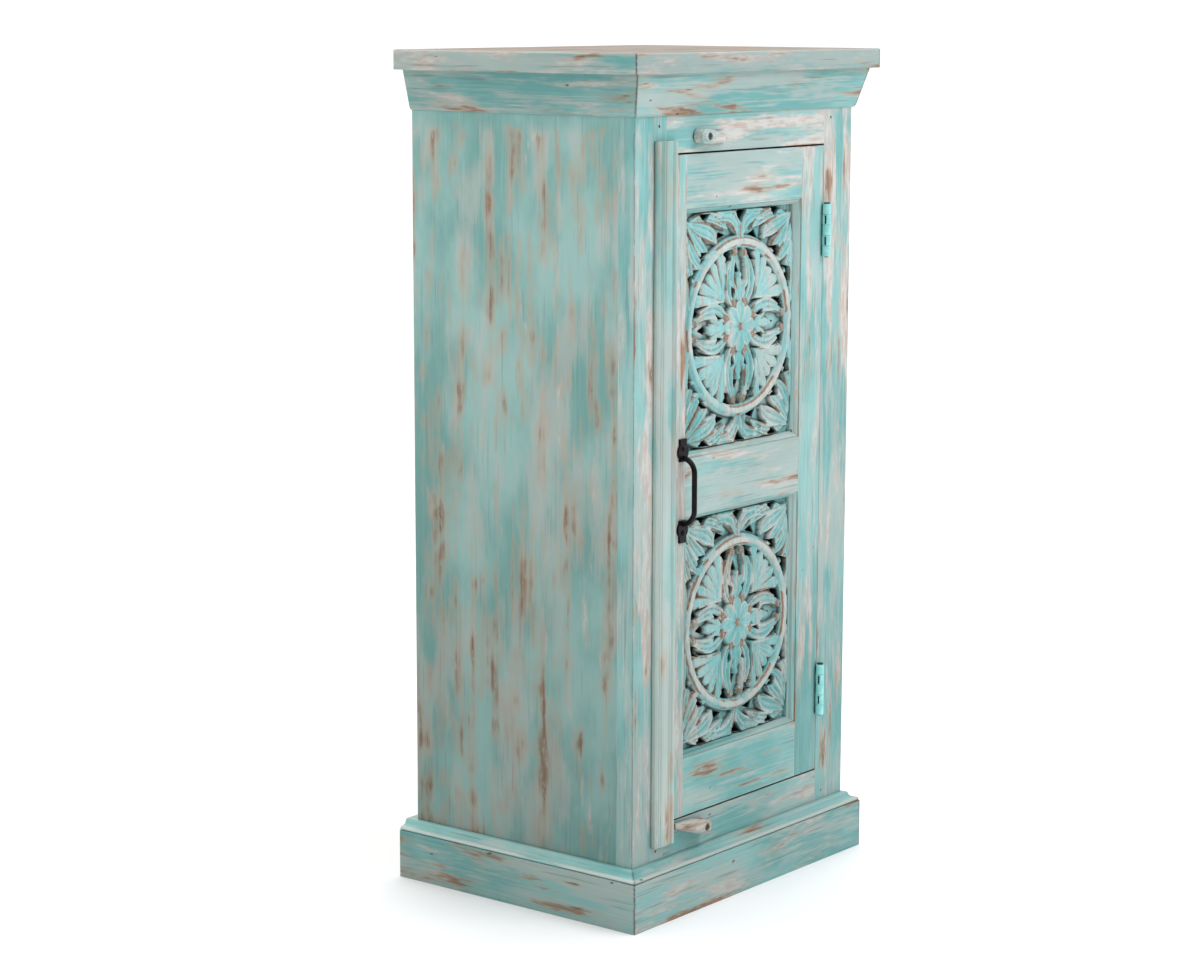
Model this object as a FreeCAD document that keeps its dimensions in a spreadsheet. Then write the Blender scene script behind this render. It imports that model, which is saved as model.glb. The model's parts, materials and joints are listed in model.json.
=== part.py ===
import FreeCAD, Part
import math
import os
import re
import Sketcher

os.makedirs("parts", exist_ok=True)
doc = FreeCAD.newDocument("carved_cabinet")
Vector = FreeCAD.Vector
Z_AXIS = Vector(0, 0, 1)

# Driving sizes in mm. X is to the right, Y to the back, Z up; the floor is Z = 0.
SIZES = (
    # case
    ("case_width", 408),
    ("case_depth", 314),
    ("case_top", 928),
    ("side_thickness", 18),
    ("back_thickness", 9),
    ("floor_thickness", 16),
    ("floor_drop", 2),
    ("shelf_thickness", 16),
    ("shelf_setback", 10),
    ("cleat_width", 16),
    ("cleat_height", 22),
    ("back_rail_height", 46),
    ("block_size", 34),
    # face frame
    ("frame_thickness", 22),
    ("frame_stile_width", 55),
    ("frame_top_rail", 85),
    ("opening_bottom", 105),
    ("frame_rail_base", 40),
    # joints of frame and door
    ("tenon_thickness", 8),
    ("tenon_length", 22),
    ("tenon_shoulder", 9),
    ("joint_clearance", 0.15),
    # plinth
    ("plinth_board_height", 55.5),
    ("plinth_height", 67),
    ("plinth_reach", 17),
    ("plinth_back_thickness", 13),
    ("base_moulding_reach", 16),
    # crown and top
    ("crown_height", 45),
    ("crown_foot", 3.5),
    ("crown_reach", 15),
    ("crown_nose", 2.4),
    ("top_thickness", 22),
    ("top_side_reach", 25.5),
    ("top_front_reach", 21.5),
    ("top_back_reach", 4),
    ("top_edge_width", 44),
    ("top_edge_round", 2),
    # door
    ("door_gap", 2),
    ("door_side_gap", 1.2),
    ("door_proud", 0.5),
    ("door_thickness", 22),
    ("door_latch_stile", 34.8),
    ("door_hinge_stile", 42.8),
    ("door_top_rail", 58.5),
    ("door_middle_rail", 64),
    ("door_bottom_rail", 65.5),
    # carved panels and their beads
    ("panel_depth", 13),
    ("panel_thickness", 7),
    ("panel_tongue", 7),
    ("bead_width", 6),
    ("bead_lip", 1.5),
    ("bead_bevel", 4.5),
    ("bead_bevel_depth", 7),
    ("ring_margin", 1.5),
    ("ring_half_width", 7),
    ("ring_height", 8),
    ("rosette_radius", 26),
    ("carving_height", 7.5),
    ("carving_edge", 3),
    # cover strip
    ("strip_width", 36),
    ("strip_thickness", 7),
    ("strip_over_frame", 22.7),
    ("strip_above", 16),
    ("strip_below", 24),
    ("strip_groove", 2),
    ("strip_groove_width", 3.2),
    # hinges
    ("hinge_height", 60.5),
    ("hinge_low_inset", 97),
    ("hinge_high_inset", 96.5),
    ("barrel_radius", 4.75),
    ("barrel_clearance", 0.5),
    ("pin_radius", 2.2),
    ("pin_head_radius", 3.6),
    ("pin_head_height", 1.4),
    ("turning_clearance", 0.35),
    ("seam_width", 2.2),
    ("seam_depth", 2.6),
    ("leaf_thickness", 1.6),
    ("leaf_width", 19),
    ("leaf_gap", 0.3),
    ("leaf_screw_radius", 1.7),
    ("leaf_screw_length", 14),
    # handle
    ("handle_length", 115),
    ("handle_drop", 2),
    ("handle_inset", 29),
    ("foot_width", 18),
    ("foot_length", 25),
    ("foot_thickness", 2.6),
    ("bow_reach", 20.5),
    ("bow_radius", 3),
    ("handle_screw_length", 13),
    # turn buttons
    ("button_nose", 46),
    ("button_tail", 11),
    ("button_width", 15),
    ("button_thickness", 14),
    ("button_tip", 3),
    ("button_bevel", 2.5),
    ("button_gap", 1.3),
    ("upper_button_inset", 58),
    ("upper_button_rise", 17),
    ("upper_button_tilt", 6),
    ("lower_button_inset", 63),
    ("lower_button_drop", 14),
    ("lower_button_tilt", 11),
    # screws and pins
    ("screw_shank_radius", 2.1),
    ("screw_head_radius", 3.8),
    ("screw_head_height", 2.2),
    ("screw_sink", 4),
    ("screw_length", 18),
    ("pin_inset", 13),
    ("pin_drop", 10.5),
    ("joint_pin_radius", 1.6),
)
sheet = doc.addObject("Spreadsheet::Sheet", "Sizes")
for row, (alias, value) in enumerate(SIZES, 1):
    sheet.set("A%d" % row, alias)
    sheet.set("B%d" % row, str(value))
    sheet.setAlias("B%d" % row, alias)
doc.recompute()
ALIASES = {alias for alias, value in SIZES}
nodes = []


def cell(text):
    """Turns bare size names in a formula into sheet references."""
    return re.sub("[a-z][a-z0-9_]*", lambda word: "Sizes." + word[0] if word[0] in ALIASES else word[0], text)


def bind(item, prop, text):
    item.setExpression(prop, cell(text))


def size(alias):
    return float(sheet.get(alias))


def node(item):
    nodes.append(item)
    return item


def box(name, x, y, z):
    """A block between the formulas (low, high) along each axis."""
    item = doc.addObject("Part::Box", name)
    for prop, axis, (low, high) in zip(("Length", "Width", "Height"), "xyz", (x, y, z)):
        bind(item, prop, "(%s) - (%s)" % (high, low))
        bind(item, "Placement.Base." + axis, low)
    return item


def cylinder(name, radius, start, length, direction=Z_AXIS):
    item = doc.addObject("Part::Cylinder", name)
    bind(item, "Radius", radius)
    bind(item, "Height", length)
    item.Placement.Rotation = FreeCAD.Rotation(Z_AXIS, direction)
    for axis, text in zip("xyz", start):
        bind(item, "Placement.Base." + axis, text)
    return item


def cone(name, radius, end_radius, start, length, direction=Z_AXIS):
    item = doc.addObject("Part::Cone", name)
    bind(item, "Radius1", radius)
    bind(item, "Radius2", end_radius)
    bind(item, "Height", length)
    item.Placement.Rotation = FreeCAD.Rotation(Z_AXIS, direction)
    for axis, text in zip("xyz", start):
        bind(item, "Placement.Base." + axis, text)
    return item


def fuse(name, *items):
    item = doc.addObject("Part::MultiFuse", name)
    item.Shapes = list(items)
    return item


def group(name, *items):
    item = doc.addObject("Part::Compound", name)
    item.Links = list(items)
    return item


def cut(name, base, *tools):
    item = doc.addObject("Part::Cut", name)
    item.Base = base
    item.Tool = tools[0] if len(tools) == 1 else fuse(name + "_tools", *tools)
    return item


def outline(body, name, role, corners, offset="0"):
    """A closed sketch through corners given as pairs of formulas."""
    sketch = body.newObject("Sketcher::SketchObject", name)
    plane = [item for item in body.Origin.OriginFeatures if item.Role == role][0]
    sketch.AttachmentSupport = [(plane, "")]
    sketch.MapMode = "FlatFace"
    bind(sketch, "AttachmentOffset.Base.z", offset)
    count = len(corners)
    turn = 2 * math.pi / count
    start = [Vector(math.cos(turn * i), math.sin(turn * i), 0) for i in range(count)]
    for i in range(count):
        sketch.addGeometry(Part.LineSegment(start[i], start[(i + 1) % count]), False)
    for i in range(count):
        sketch.addConstraint(Sketcher.Constraint("Coincident", i, 2, (i + 1) % count, 1))
    for i, corner in enumerate(corners):
        for kind, text, now in zip(("DistanceX", "DistanceY"), corner, start[i]):
            index = sketch.addConstraint(Sketcher.Constraint(kind, -1, 1, i, 1, now))
            sketch.renameConstraint(index, "%s%d" % (kind[-1].lower(), i))
            bind(sketch, "Constraints.%s%d" % (kind[-1].lower(), i), text)
    return sketch


def pad(name, role, corners, length, offset="0"):
    """A body padded from one outline along the normal of its plane."""
    body = doc.addObject("PartDesign::Body", name)
    sketch = outline(body, name + "_outline", role, corners, offset)
    feature = body.newObject("PartDesign::Pad", name + "_pad")
    feature.Profile = sketch
    bind(feature, "Length", length)
    doc.recompute()
    return body


def loft(name, role, sections):
    """A body through outlines given as (corners, offset along the normal), joined by flat faces."""
    body = doc.addObject("PartDesign::Body", name)
    sketches = [
        outline(body, "%s_outline_%d" % (name, i), role, corners, offset)
        for i, (corners, offset) in enumerate(sections)
    ]
    feature = body.newObject("PartDesign::AdditiveLoft", name + "_loft")
    feature.Profile = sketches[0]
    feature.Sections = sketches[1:]
    feature.Ruled = True
    doc.recompute()
    return body


def round_edges(body, pick, radius):
    """Rounds the edges of a body whose ends both satisfy pick."""
    edges = enumerate(body.Shape.Edges, 1)
    names = ["Edge%d" % i for i, edge in edges if all(pick(vertex.Point) for vertex in edge.Vertexes)]
    base = body.Tip
    feature = body.newObject("PartDesign::Fillet", body.Name + "_round")
    feature.Base = (base, names)
    bind(feature, "Radius", radius)
    body.Tip = feature
    doc.recompute()
    return body


def at_limit(shape, limit, height):
    """Tells whether a point lies on a limit of a shape's bounding box at a height."""
    axis, goal = limit[0].lower(), getattr(shape.BoundBox, limit)
    return lambda point: abs(getattr(point, axis) - goal) < 0.01 and abs(point.z - height) < 0.01


# Formulas of the main planes
LEFT = "-case_width / 2"
RIGHT = "case_width / 2"
FRONT = "-case_depth / 2"
BACK = "case_depth / 2"
INNER_LEFT = "-case_width / 2 + side_thickness"
INNER_RIGHT = "case_width / 2 - side_thickness"
FRAME_BACK = "-case_depth / 2 + frame_thickness"
INNER_BACK = "case_depth / 2 - back_thickness"
OPENING_LEFT = "-case_width / 2 + frame_stile_width"
OPENING_RIGHT = "case_width / 2 - frame_stile_width"
DOOR_LEFT = OPENING_LEFT + " + door_side_gap"
DOOR_RIGHT = OPENING_RIGHT + " - door_side_gap"
OPENING_TOP = "case_top - frame_top_rail"
DOOR_BOTTOM = "opening_bottom + door_gap"
DOOR_TOP = OPENING_TOP + " - door_gap"
DOOR_HEIGHT = "(case_top - frame_top_rail - opening_bottom - 2 * door_gap)"
DOOR_FACE = "-case_depth / 2 - door_proud"
DOOR_BACK = DOOR_FACE + " + door_thickness"
PANEL_LEFT = DOOR_LEFT + " + door_latch_stile"
PANEL_RIGHT = DOOR_RIGHT + " - door_hinge_stile"
LOWER_PANEL = DOOR_BOTTOM + " + door_bottom_rail"
PANEL_OPENING = "(%s - door_bottom_rail - door_middle_rail - door_top_rail) / 2" % DOOR_HEIGHT
MIDDLE_RAIL = LOWER_PANEL + " + " + PANEL_OPENING
UPPER_PANEL = MIDDLE_RAIL + " + door_middle_rail"
TOP_RAIL = UPPER_PANEL + " + " + PANEL_OPENING
FLOOR_TOP = "opening_bottom - floor_drop"
SHELF_MIDDLE = MIDDLE_RAIL + " + door_middle_rail / 2"
SHELF_BASE = SHELF_MIDDLE + " - shelf_thickness / 2"
HANDLE_MIDDLE = SHELF_MIDDLE + " - handle_drop"
CROWN_BOTTOM = "case_top - crown_height"


def plus(text, more):
    return "%s + (%s)" % (text, more)


def minus(text, less):
    return "%s - (%s)" % (text, less)


def tenons(name, x, y, z, slack):
    """The two tenons of a rail between shoulders x, or their mortises when slack is given."""
    middle = "((%s) + (%s)) / 2" % y
    thick = (minus(middle, "tenon_thickness / 2 + " + slack), plus(middle, "tenon_thickness / 2 + " + slack))
    tall = (plus(z[0], "tenon_shoulder - " + slack), minus(z[1], "tenon_shoulder - " + slack))
    low = box(name + "_left", (minus(x[0], "tenon_length + " + slack), x[0]), thick, tall)
    high = box(name + "_right", (x[1], plus(x[1], "tenon_length + " + slack)), thick, tall)
    return low, high


def rail(name, x, y, z, *tools):
    """A rail with a tenon at each end, cut by tools, and the two mortises it needs."""
    blank = fuse(name + "_blank", box(name + "_board", x, y, z), *tenons(name + "_tenon", x, y, z, "0"))
    node(cut(name, blank, *tools))
    return tenons(name + "_mortise", x, y, z, "joint_clearance")


# Case boards
for name, outer, inner in (("left_side", LEFT, INNER_LEFT), ("right_side", INNER_RIGHT, RIGHT)):
    node(box(name, (outer, inner), (FRAME_BACK, BACK), ("0", "case_top")))
INSIDE = (INNER_LEFT, INNER_RIGHT)
node(box("back_panel", INSIDE, (INNER_BACK, BACK), ("frame_rail_base", "case_top")))
node(box("bottom_board", INSIDE, (FRAME_BACK, INNER_BACK), (minus(FLOOR_TOP, "floor_thickness"), FLOOR_TOP)))
SHELF_FRONT = plus(FRAME_BACK, "shelf_setback")
node(box("shelf", INSIDE, (SHELF_FRONT, INNER_BACK), (SHELF_BASE, plus(SHELF_BASE, "shelf_thickness"))))
FLOOR_BASE = minus(FLOOR_TOP, "floor_thickness")
for name, base, front in (("shelf_cleat", SHELF_BASE, SHELF_FRONT), ("floor_cleat", FLOOR_BASE, FRAME_BACK)):
    tall = (minus(base, "cleat_height"), base)
    left = (INNER_LEFT, plus(INNER_LEFT, "cleat_width"))
    right = (minus(INNER_RIGHT, "cleat_width"), INNER_RIGHT)
    node(box(name + "_left", left, (front, INNER_BACK), tall))
    node(box(name + "_right", right, (front, INNER_BACK), tall))
RAIL_FRONT = minus(INNER_BACK, "side_thickness")
node(box("back_top_rail", INSIDE, (RAIL_FRONT, INNER_BACK), ("case_top - back_rail_height", "case_top")))

# Corner blocks under the top, split along their diagonal
blocks = []
for side, wall, sign in (("left", INNER_LEFT, ""), ("right", INNER_RIGHT, "-")):
    for end, face, turn in (("front", FRAME_BACK, ""), ("back", RAIL_FRONT, "-")):
        reach_x = plus(wall, sign + "block_size")
        reach_y = plus(face, turn + "block_size")
        corners = ((wall, face), (reach_x, face), (wall, reach_y))
        label = "top_block_%s_%s" % (end, side)
        blocks.append(pad(label, "XY_Plane", corners, "block_size", "case_top - block_size"))
node(group("top_corner_blocks", *blocks))

# Screws of the turn buttons and pins through the joints of the face frame
Y_AXIS = Vector(0, 1, 0)
UPPER_BUTTON = (plus(OPENING_LEFT, "upper_button_inset"), plus(OPENING_TOP, "upper_button_rise"))
LOWER_BUTTON = (plus(OPENING_LEFT, "lower_button_inset"), minus("opening_bottom", "lower_button_drop"))
BUTTON_BACK = minus(FRONT, "button_gap")
BUTTON_FRONT = minus(BUTTON_BACK, "button_thickness")
SCREW_SEAT = plus(BUTTON_FRONT, "screw_sink - turning_clearance")
button_screws = {}
for name, (x, z) in (("upper", UPPER_BUTTON), ("lower", LOWER_BUTTON)):
    reach = "screw_length + button_gap + button_thickness - screw_sink + turning_clearance"
    shank = cylinder(name + "_button_shank", "screw_shank_radius", (x, SCREW_SEAT, z), reach, Y_AXIS)
    head_start = (x, minus(SCREW_SEAT, "screw_head_height"), z)
    head = cylinder(name + "_button_head", "screw_head_radius", head_start, "screw_head_height", Y_AXIS)
    slot_x = (minus(x, "screw_head_radius + 1"), plus(x, "screw_head_radius + 1"))
    slot_y = (minus(SCREW_SEAT, "screw_head_height + 1"), minus(SCREW_SEAT, "screw_head_height / 2"))
    slot = box(name + "_button_slot", slot_x, slot_y, (minus(z, "0.5"), plus(z, "0.5")))
    button_screws[name] = cut(name + "_button_screw", fuse(name + "_button_screw_blank", shank, head), slot)
node(group("button_screws", *button_screws.values()))
pins = []
for level, z in (("top", CROWN_BOTTOM + " - pin_drop"), ("bottom", "plinth_height + pin_drop")):
    for side, x in (("left", minus(OPENING_LEFT, "pin_inset")), ("right", plus(OPENING_RIGHT, "pin_inset"))):
        label = "frame_pin_%s_%s" % (level, side)
        pins.append(cylinder(label, "joint_pin_radius", (x, FRONT, z), "frame_thickness", Y_AXIS))
node(group("frame_joint_pins", *pins))

# Face frame
OPENING = (OPENING_LEFT, OPENING_RIGHT)
FRAME = (FRONT, FRAME_BACK)
FRAME_HEAD = (OPENING_TOP, "case_top")
FRAME_FOOT = ("frame_rail_base", "opening_bottom")
frame_mortises = [
    rail("frame_top_rail_piece", OPENING, FRAME, FRAME_HEAD, button_screws["upper"], *pins[:2]),
    rail("frame_bottom_rail", OPENING, FRAME, FRAME_FOOT, button_screws["lower"], *pins[2:]),
]
nodes[-2].Label = "frame_top_rail"

# Hinges: the pin stands proud of the door face over the gap at the hinge side
PIN_X = OPENING_RIGHT + " - door_side_gap / 2"
PIN_Y = DOOR_FACE + " - barrel_radius - barrel_clearance"
SEAM_ANGLE = 195
SEAM_TURN = FreeCAD.Rotation(Z_AXIS, SEAM_ANGLE)
SEAM_WAY = SEAM_TURN.multVec(Vector(1, 0, 0))
LEAF_BACK = plus(DOOR_FACE, "leaf_width")
KNUCKLES = 5
KNUCKLE = "hinge_height / %d" % KNUCKLES
SCREW_ROWS = (1, 3, 5)
FRAME_LEAF = (plus(PIN_X, "leaf_gap / 2"), plus(PIN_X, "leaf_gap / 2 + leaf_thickness"))
DOOR_LEAF = (minus(PIN_X, "leaf_gap / 2 + leaf_thickness"), minus(PIN_X, "leaf_gap / 2"))
SCREW_Y = plus(LEAF_BACK, "-leaf_width / 2.6")
X_AXIS = Vector(1, 0, 0)


def leaf_screws(label, inner, base, way):
    """The screws of a hinge leaf, from its inner face into the wood."""
    screws = []
    for place in SCREW_ROWS:
        name = "%s_screw_%d" % (label, place)
        start = (inner, SCREW_Y, plus(base, "hinge_height * %d / 6" % place))
        taper = ("leaf_screw_radius * 2", "leaf_screw_radius")
        head = cone(name + "_head", *taper, start, "leaf_thickness", X_AXIS * way)
        shank = cylinder(name + "_shank", "leaf_screw_radius", start, "leaf_screw_length", X_AXIS * way)
        screws.append(fuse(name, head, shank))
    return screws


def roll_seam(name, low, tall):
    """A slot along a knuckle, where its rolled plate closes."""
    item = doc.addObject("Part::Box", name)
    bind(item, "Length", "seam_depth + 1")
    bind(item, "Width", "seam_width")
    bind(item, "Height", "%s - seam_width" % tall)
    item.Placement.Rotation = SEAM_TURN
    out, half = "(barrel_radius - seam_depth)", "(seam_width / 2)"
    bind(item, "Placement.Base.x", plus(PIN_X, "%s * %.4f + %s * %.4f" % (out, SEAM_WAY.x, half, SEAM_WAY.y)))
    bind(item, "Placement.Base.y", plus(PIN_Y, "%s * %.4f - %s * %.4f" % (out, SEAM_WAY.y, half, SEAM_WAY.x)))
    bind(item, "Placement.Base.z", plus(low, "seam_width / 2"))
    return item


def hinge_leaf(name, label, faces, base, first, screws):
    """A plate with every second knuckle of the barrel; the door's knuckles show the seam of their roll."""
    tall = KNUCKLE + " - leaf_gap"
    reach = (plus(DOOR_FACE, "joint_clearance"), LEAF_BACK)
    pieces = [box(label + "_plate", faces, reach, (base, plus(base, "hinge_height")))]
    seams = []
    for index in range(first, KNUCKLES, 2):
        low = plus(base, KNUCKLE + " * %d + leaf_gap / 2" % index)
        part = "%s_knuckle_%d" % (label, index)
        pieces.append(cylinder(part, "barrel_radius", (PIN_X, PIN_Y, low), tall))
        pieces.append(box(part + "_tab", faces, (PIN_Y, plus(DOOR_FACE, "1")), (low, plus(low, tall))))
        if first == 1:
            seams.append(roll_seam(part + "_seam", low, tall))
    start = (PIN_X, PIN_Y, minus(base, "1"))
    bore = cylinder(label + "_bore", "pin_radius + turning_clearance", start, "hinge_height + 2")
    node(cut(name, fuse(label + "_blank", *pieces), bore, *screws, *seams))


frame_pockets = []
door_pockets = []
frame_screws = []
door_screws = []
for name, middle in (
    ("lower", plus(DOOR_BOTTOM, "hinge_low_inset")),
    ("upper", minus(DOOR_TOP, "hinge_high_inset")),
):
    base = minus(middle, "hinge_height / 2")
    z = (base, plus(base, "hinge_height"))
    y = (minus(DOOR_FACE, "1"), plus(LEAF_BACK, "joint_clearance"))
    for leaf, faces, way, screws, pockets, wide in (
        ("frame", FRAME_LEAF, 1, frame_screws, frame_pockets, (minus(OPENING_RIGHT, "1"), FRAME_LEAF[1])),
        ("door", DOOR_LEAF, -1, door_screws, door_pockets, (DOOR_LEAF[0], plus(DOOR_RIGHT, "1"))),
    ):
        label = "%s_%s_leaf" % (name, leaf)
        own = leaf_screws(label, faces[0] if way > 0 else faces[1], base, way)
        hinge_leaf("%s_hinge_%s_leaf" % (name, leaf), label, faces, base, 0 if leaf == "frame" else 1, own)
        screws += own
        pockets += [box(label + "_pocket", wide, y, z), *own]
    stem = cylinder(name + "_pin_stem", "pin_radius", (PIN_X, PIN_Y, minus(base, "1")), "hinge_height + 1.5")
    cap_base = plus(base, "hinge_height - leaf_gap / 2")
    cap = cylinder(name + "_pin_cap", "pin_head_radius", (PIN_X, PIN_Y, cap_base), "pin_head_height")
    node(fuse(name + "_hinge_pin", stem, cap))
node(group("hinge_screws_frame", *frame_screws))
node(group("hinge_screws_door", *door_screws))

for side, x, picks, extra in (
    ("left", (LEFT, OPENING_LEFT), 0, pins[0::2]),
    ("right", (OPENING_RIGHT, RIGHT), 1, pins[1::2] + frame_pockets),
):
    board = box("frame_%s_stile_board" % side, x, FRAME, ("0", "case_top"))
    node(cut("frame_%s_stile" % side, board, *[pair[picks] for pair in frame_mortises], *extra))

# Handle: two scalloped foot plates joined by a round bow with a straight grip, each held by a screw
HANDLE_X = plus(DOOR_LEFT, "handle_inset")
FOOT_FRONT = minus(DOOR_FACE, "foot_thickness")
FOOT_MIDDLE = minus(DOOR_FACE, "foot_thickness / 2")
BOW_HALF = "(handle_length / 2 - foot_length * 0.84)"
BOW_BEND = "(bow_reach - bow_radius - foot_thickness / 2)"
OUTWARD = Vector(0, -1, 0)
bends = []
for name, way, start, end in (("upper", "", OUTWARD, Z_AXIS), ("lower", "-", -Z_AXIS, OUTWARD)):
    bend = doc.addObject("Part::Torus", name + "_bow_bend")
    bind(bend, "Radius1", BOW_BEND)
    bind(bend, "Radius2", "bow_radius")
    bend.Angle3 = 90
    bend.Placement.Rotation = FreeCAD.Rotation(start, end, start.cross(end), "XYZ")
    bind(bend, "Placement.Base.x", HANDLE_X)
    bind(bend, "Placement.Base.y", FOOT_MIDDLE)
    bind(bend, "Placement.Base.z", plus(HANDLE_MIDDLE, "%s(%s - %s)" % (way, BOW_HALF, BOW_BEND)))
    bends.append(bend)
grip_start = (HANDLE_X, minus(FOOT_MIDDLE, BOW_BEND), minus(HANDLE_MIDDLE, "%s - %s" % (BOW_HALF, BOW_BEND)))
grip = cylinder("handle_grip", "bow_radius", grip_start, "2 * (%s - %s)" % (BOW_HALF, BOW_BEND))


def foot_level(way, share):
    """The height of a share of a foot's length, from the outer end of the handle inwards."""
    return plus(HANDLE_MIDDLE, way + "(handle_length / 2 - foot_length * %s)" % share)


feet = []
handle_screws = []
for name, way, ends in (("upper", "", ("1", "0")), ("lower", "-", ("0", "1"))):
    half = "foot_width * 0.32"
    wide = (minus(HANDLE_X, half), plus(HANDLE_X, half))
    span = [foot_level(way, share) for share in ends]
    feet.append(box(name + "_foot_plate", wide, (FOOT_FRONT, DOOR_FACE), span))
    middle = (HANDLE_X, FOOT_FRONT, foot_level(way, "0.58"))
    feet.append(cylinder(name + "_foot_lobe", "foot_width / 2", middle, "foot_thickness", Y_AXIS))
    seat = (HANDLE_X, FOOT_FRONT, foot_level(way, "0.42"))
    shank = cylinder(name + "_handle_shank", "screw_shank_radius", seat, "handle_screw_length", Y_AXIS)
    dome = ("screw_head_radius", "screw_head_radius / 2")
    head = cone(name + "_handle_head", *dome, seat, "screw_head_height", -Y_AXIS)
    handle_screws.append(fuse(name + "_handle_screw", shank, head))
node(cut("door_handle", fuse("handle_blank", grip, *bends, *feet), *handle_screws))
node(group("handle_screws", *handle_screws))

# Door frame
RAILS = (PANEL_LEFT, PANEL_RIGHT)
DOOR = (DOOR_FACE, DOOR_BACK)
PANEL_FRONT = plus(DOOR_FACE, "panel_depth")
PANEL_BACK = plus(PANEL_FRONT, "panel_thickness")
grooves = []
for name, base in (("lower", LOWER_PANEL), ("upper", UPPER_PANEL)):
    slack = "panel_tongue + joint_clearance"
    wide = (minus(PANEL_LEFT, slack), plus(PANEL_RIGHT, slack))
    deep = (minus(PANEL_FRONT, "joint_clearance"), plus(PANEL_BACK, "joint_clearance"))
    tall = (minus(base, slack), plus(base, PANEL_OPENING + " + " + slack))
    grooves.append(box(name + "_groove", wide, deep, tall))
door_mortises = []
for name, base, height in (
    ("door_top_rail", TOP_RAIL, "door_top_rail"),
    ("door_middle_rail", MIDDLE_RAIL, "door_middle_rail"),
    ("door_bottom_rail", DOOR_BOTTOM, "door_bottom_rail"),
):
    door_mortises.append(rail(name + "_piece", RAILS, DOOR, (base, plus(base, height)), *grooves))
    nodes[-1].Label = name
for name, x, picks, extra in (
    ("door_latch_stile", (DOOR_LEFT, PANEL_LEFT), 0, handle_screws),
    ("door_hinge_stile", (PANEL_RIGHT, DOOR_RIGHT), 1, door_pockets),
):
    board = box(name + "_board", x, DOOR, (DOOR_BOTTOM, DOOR_TOP))
    stile = cut(name + "_piece", board, *[pair[picks] for pair in door_mortises], *grooves, *extra)
    stile.Label = name
    node(stile)

# Cover strip on the latch stile, with grooves run along both edges
STRIP_LEFT = minus(DOOR_LEFT, "strip_over_frame")
STRIP_FRONT = minus(DOOR_FACE, "strip_thickness")
STRIP_LOW = minus(STRIP_FRONT, "-strip_groove")
strip_corners = [
    (STRIP_LEFT, DOOR_FACE),
    (STRIP_LEFT, plus(STRIP_FRONT, "strip_groove * 1.5")),
    (plus(STRIP_LEFT, "strip_groove"), plus(STRIP_FRONT, "strip_groove / 2")),
]
for start in ("strip_groove_width * 1.2", "strip_groove_width * 2.4"):
    ridge = plus(STRIP_FRONT, "strip_groove / 3")
    strip_corners.append((plus(STRIP_LEFT, start), ridge))
    strip_corners.append((plus(STRIP_LEFT, start + " + strip_groove_width / 3"), STRIP_LOW))
    strip_corners.append((plus(STRIP_LEFT, start + " + strip_groove_width * 2 / 3"), ridge))
STRIP_RIGHT = plus(STRIP_LEFT, "strip_width")
strip_corners += [
    (plus(STRIP_LEFT, "strip_groove_width * 4"), STRIP_FRONT),
    (minus(STRIP_RIGHT, "strip_groove_width * 4"), STRIP_FRONT),
    (minus(STRIP_RIGHT, "strip_groove_width * 3.6"), STRIP_LOW),
    (minus(STRIP_RIGHT, "strip_groove_width * 2.6"), STRIP_LOW),
    (minus(STRIP_RIGHT, "strip_groove_width * 2"), plus(STRIP_FRONT, "strip_groove / 4")),
    (minus(STRIP_RIGHT, "strip_groove_width"), plus(STRIP_FRONT, "strip_groove / 4")),
    (STRIP_RIGHT, plus(STRIP_FRONT, "strip_groove * 1.5")),
    (STRIP_RIGHT, DOOR_FACE),
]
strip_length = DOOR_HEIGHT + " + strip_above + strip_below"
node(pad("door_cover_strip", "XY_Plane", strip_corners, strip_length, DOOR_BOTTOM + " - strip_below"))

# Mitred beads that frame each carved panel
BEAD_FRONT = plus(DOOR_FACE, "bead_lip")
BEAD_BEVEL = plus(BEAD_FRONT, "bead_bevel_depth")


def frame_corners(base, inset):
    """The corners of a panel opening, moved inwards."""
    top = plus(base, PANEL_OPENING)
    left, right = plus(PANEL_LEFT, inset), minus(PANEL_RIGHT, inset)
    low, high = plus(base, inset), minus(top, inset)
    return ((left, low), (right, low), (right, high), (left, high))


for name, base in (("lower", LOWER_PANEL), ("upper", UPPER_PANEL)):
    outer = frame_corners(base, "0")
    inner = frame_corners(base, "bead_width")
    crest = frame_corners(base, "bead_width - bead_bevel")
    for i, side in enumerate(("bottom", "right", "top", "left")):
        j = (i + 1) % 4
        full = (outer[i], outer[j], inner[j], inner[i])
        narrow = (outer[i], outer[j], crest[j], crest[i])
        steps = ((full, PANEL_FRONT), (full, BEAD_BEVEL), (narrow, BEAD_FRONT))
        sections = [(corners, "-(%s)" % depth) for corners, depth in steps]
        node(loft("%s_bead_%s" % (name, side), "XZ_Plane", sections))

# Plinth boards and base mouldings, mitred at the front corners


def band(side, reach, back):
    """Plan corners of a band round the case front or side, mitred where two bands meet."""
    far_left = minus(LEFT, reach)
    far_right = plus(RIGHT, reach)
    far_front = minus(FRONT, reach)
    behind = plus(BACK, back)
    if side == "front":
        return ((LEFT, FRONT), (far_left, far_front), (far_right, far_front), (RIGHT, FRONT))
    if side == "left":
        return ((LEFT, FRONT), (LEFT, behind), (far_left, behind), (far_left, far_front))
    return ((RIGHT, FRONT), (far_right, far_front), (far_right, behind), (RIGHT, behind))


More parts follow.
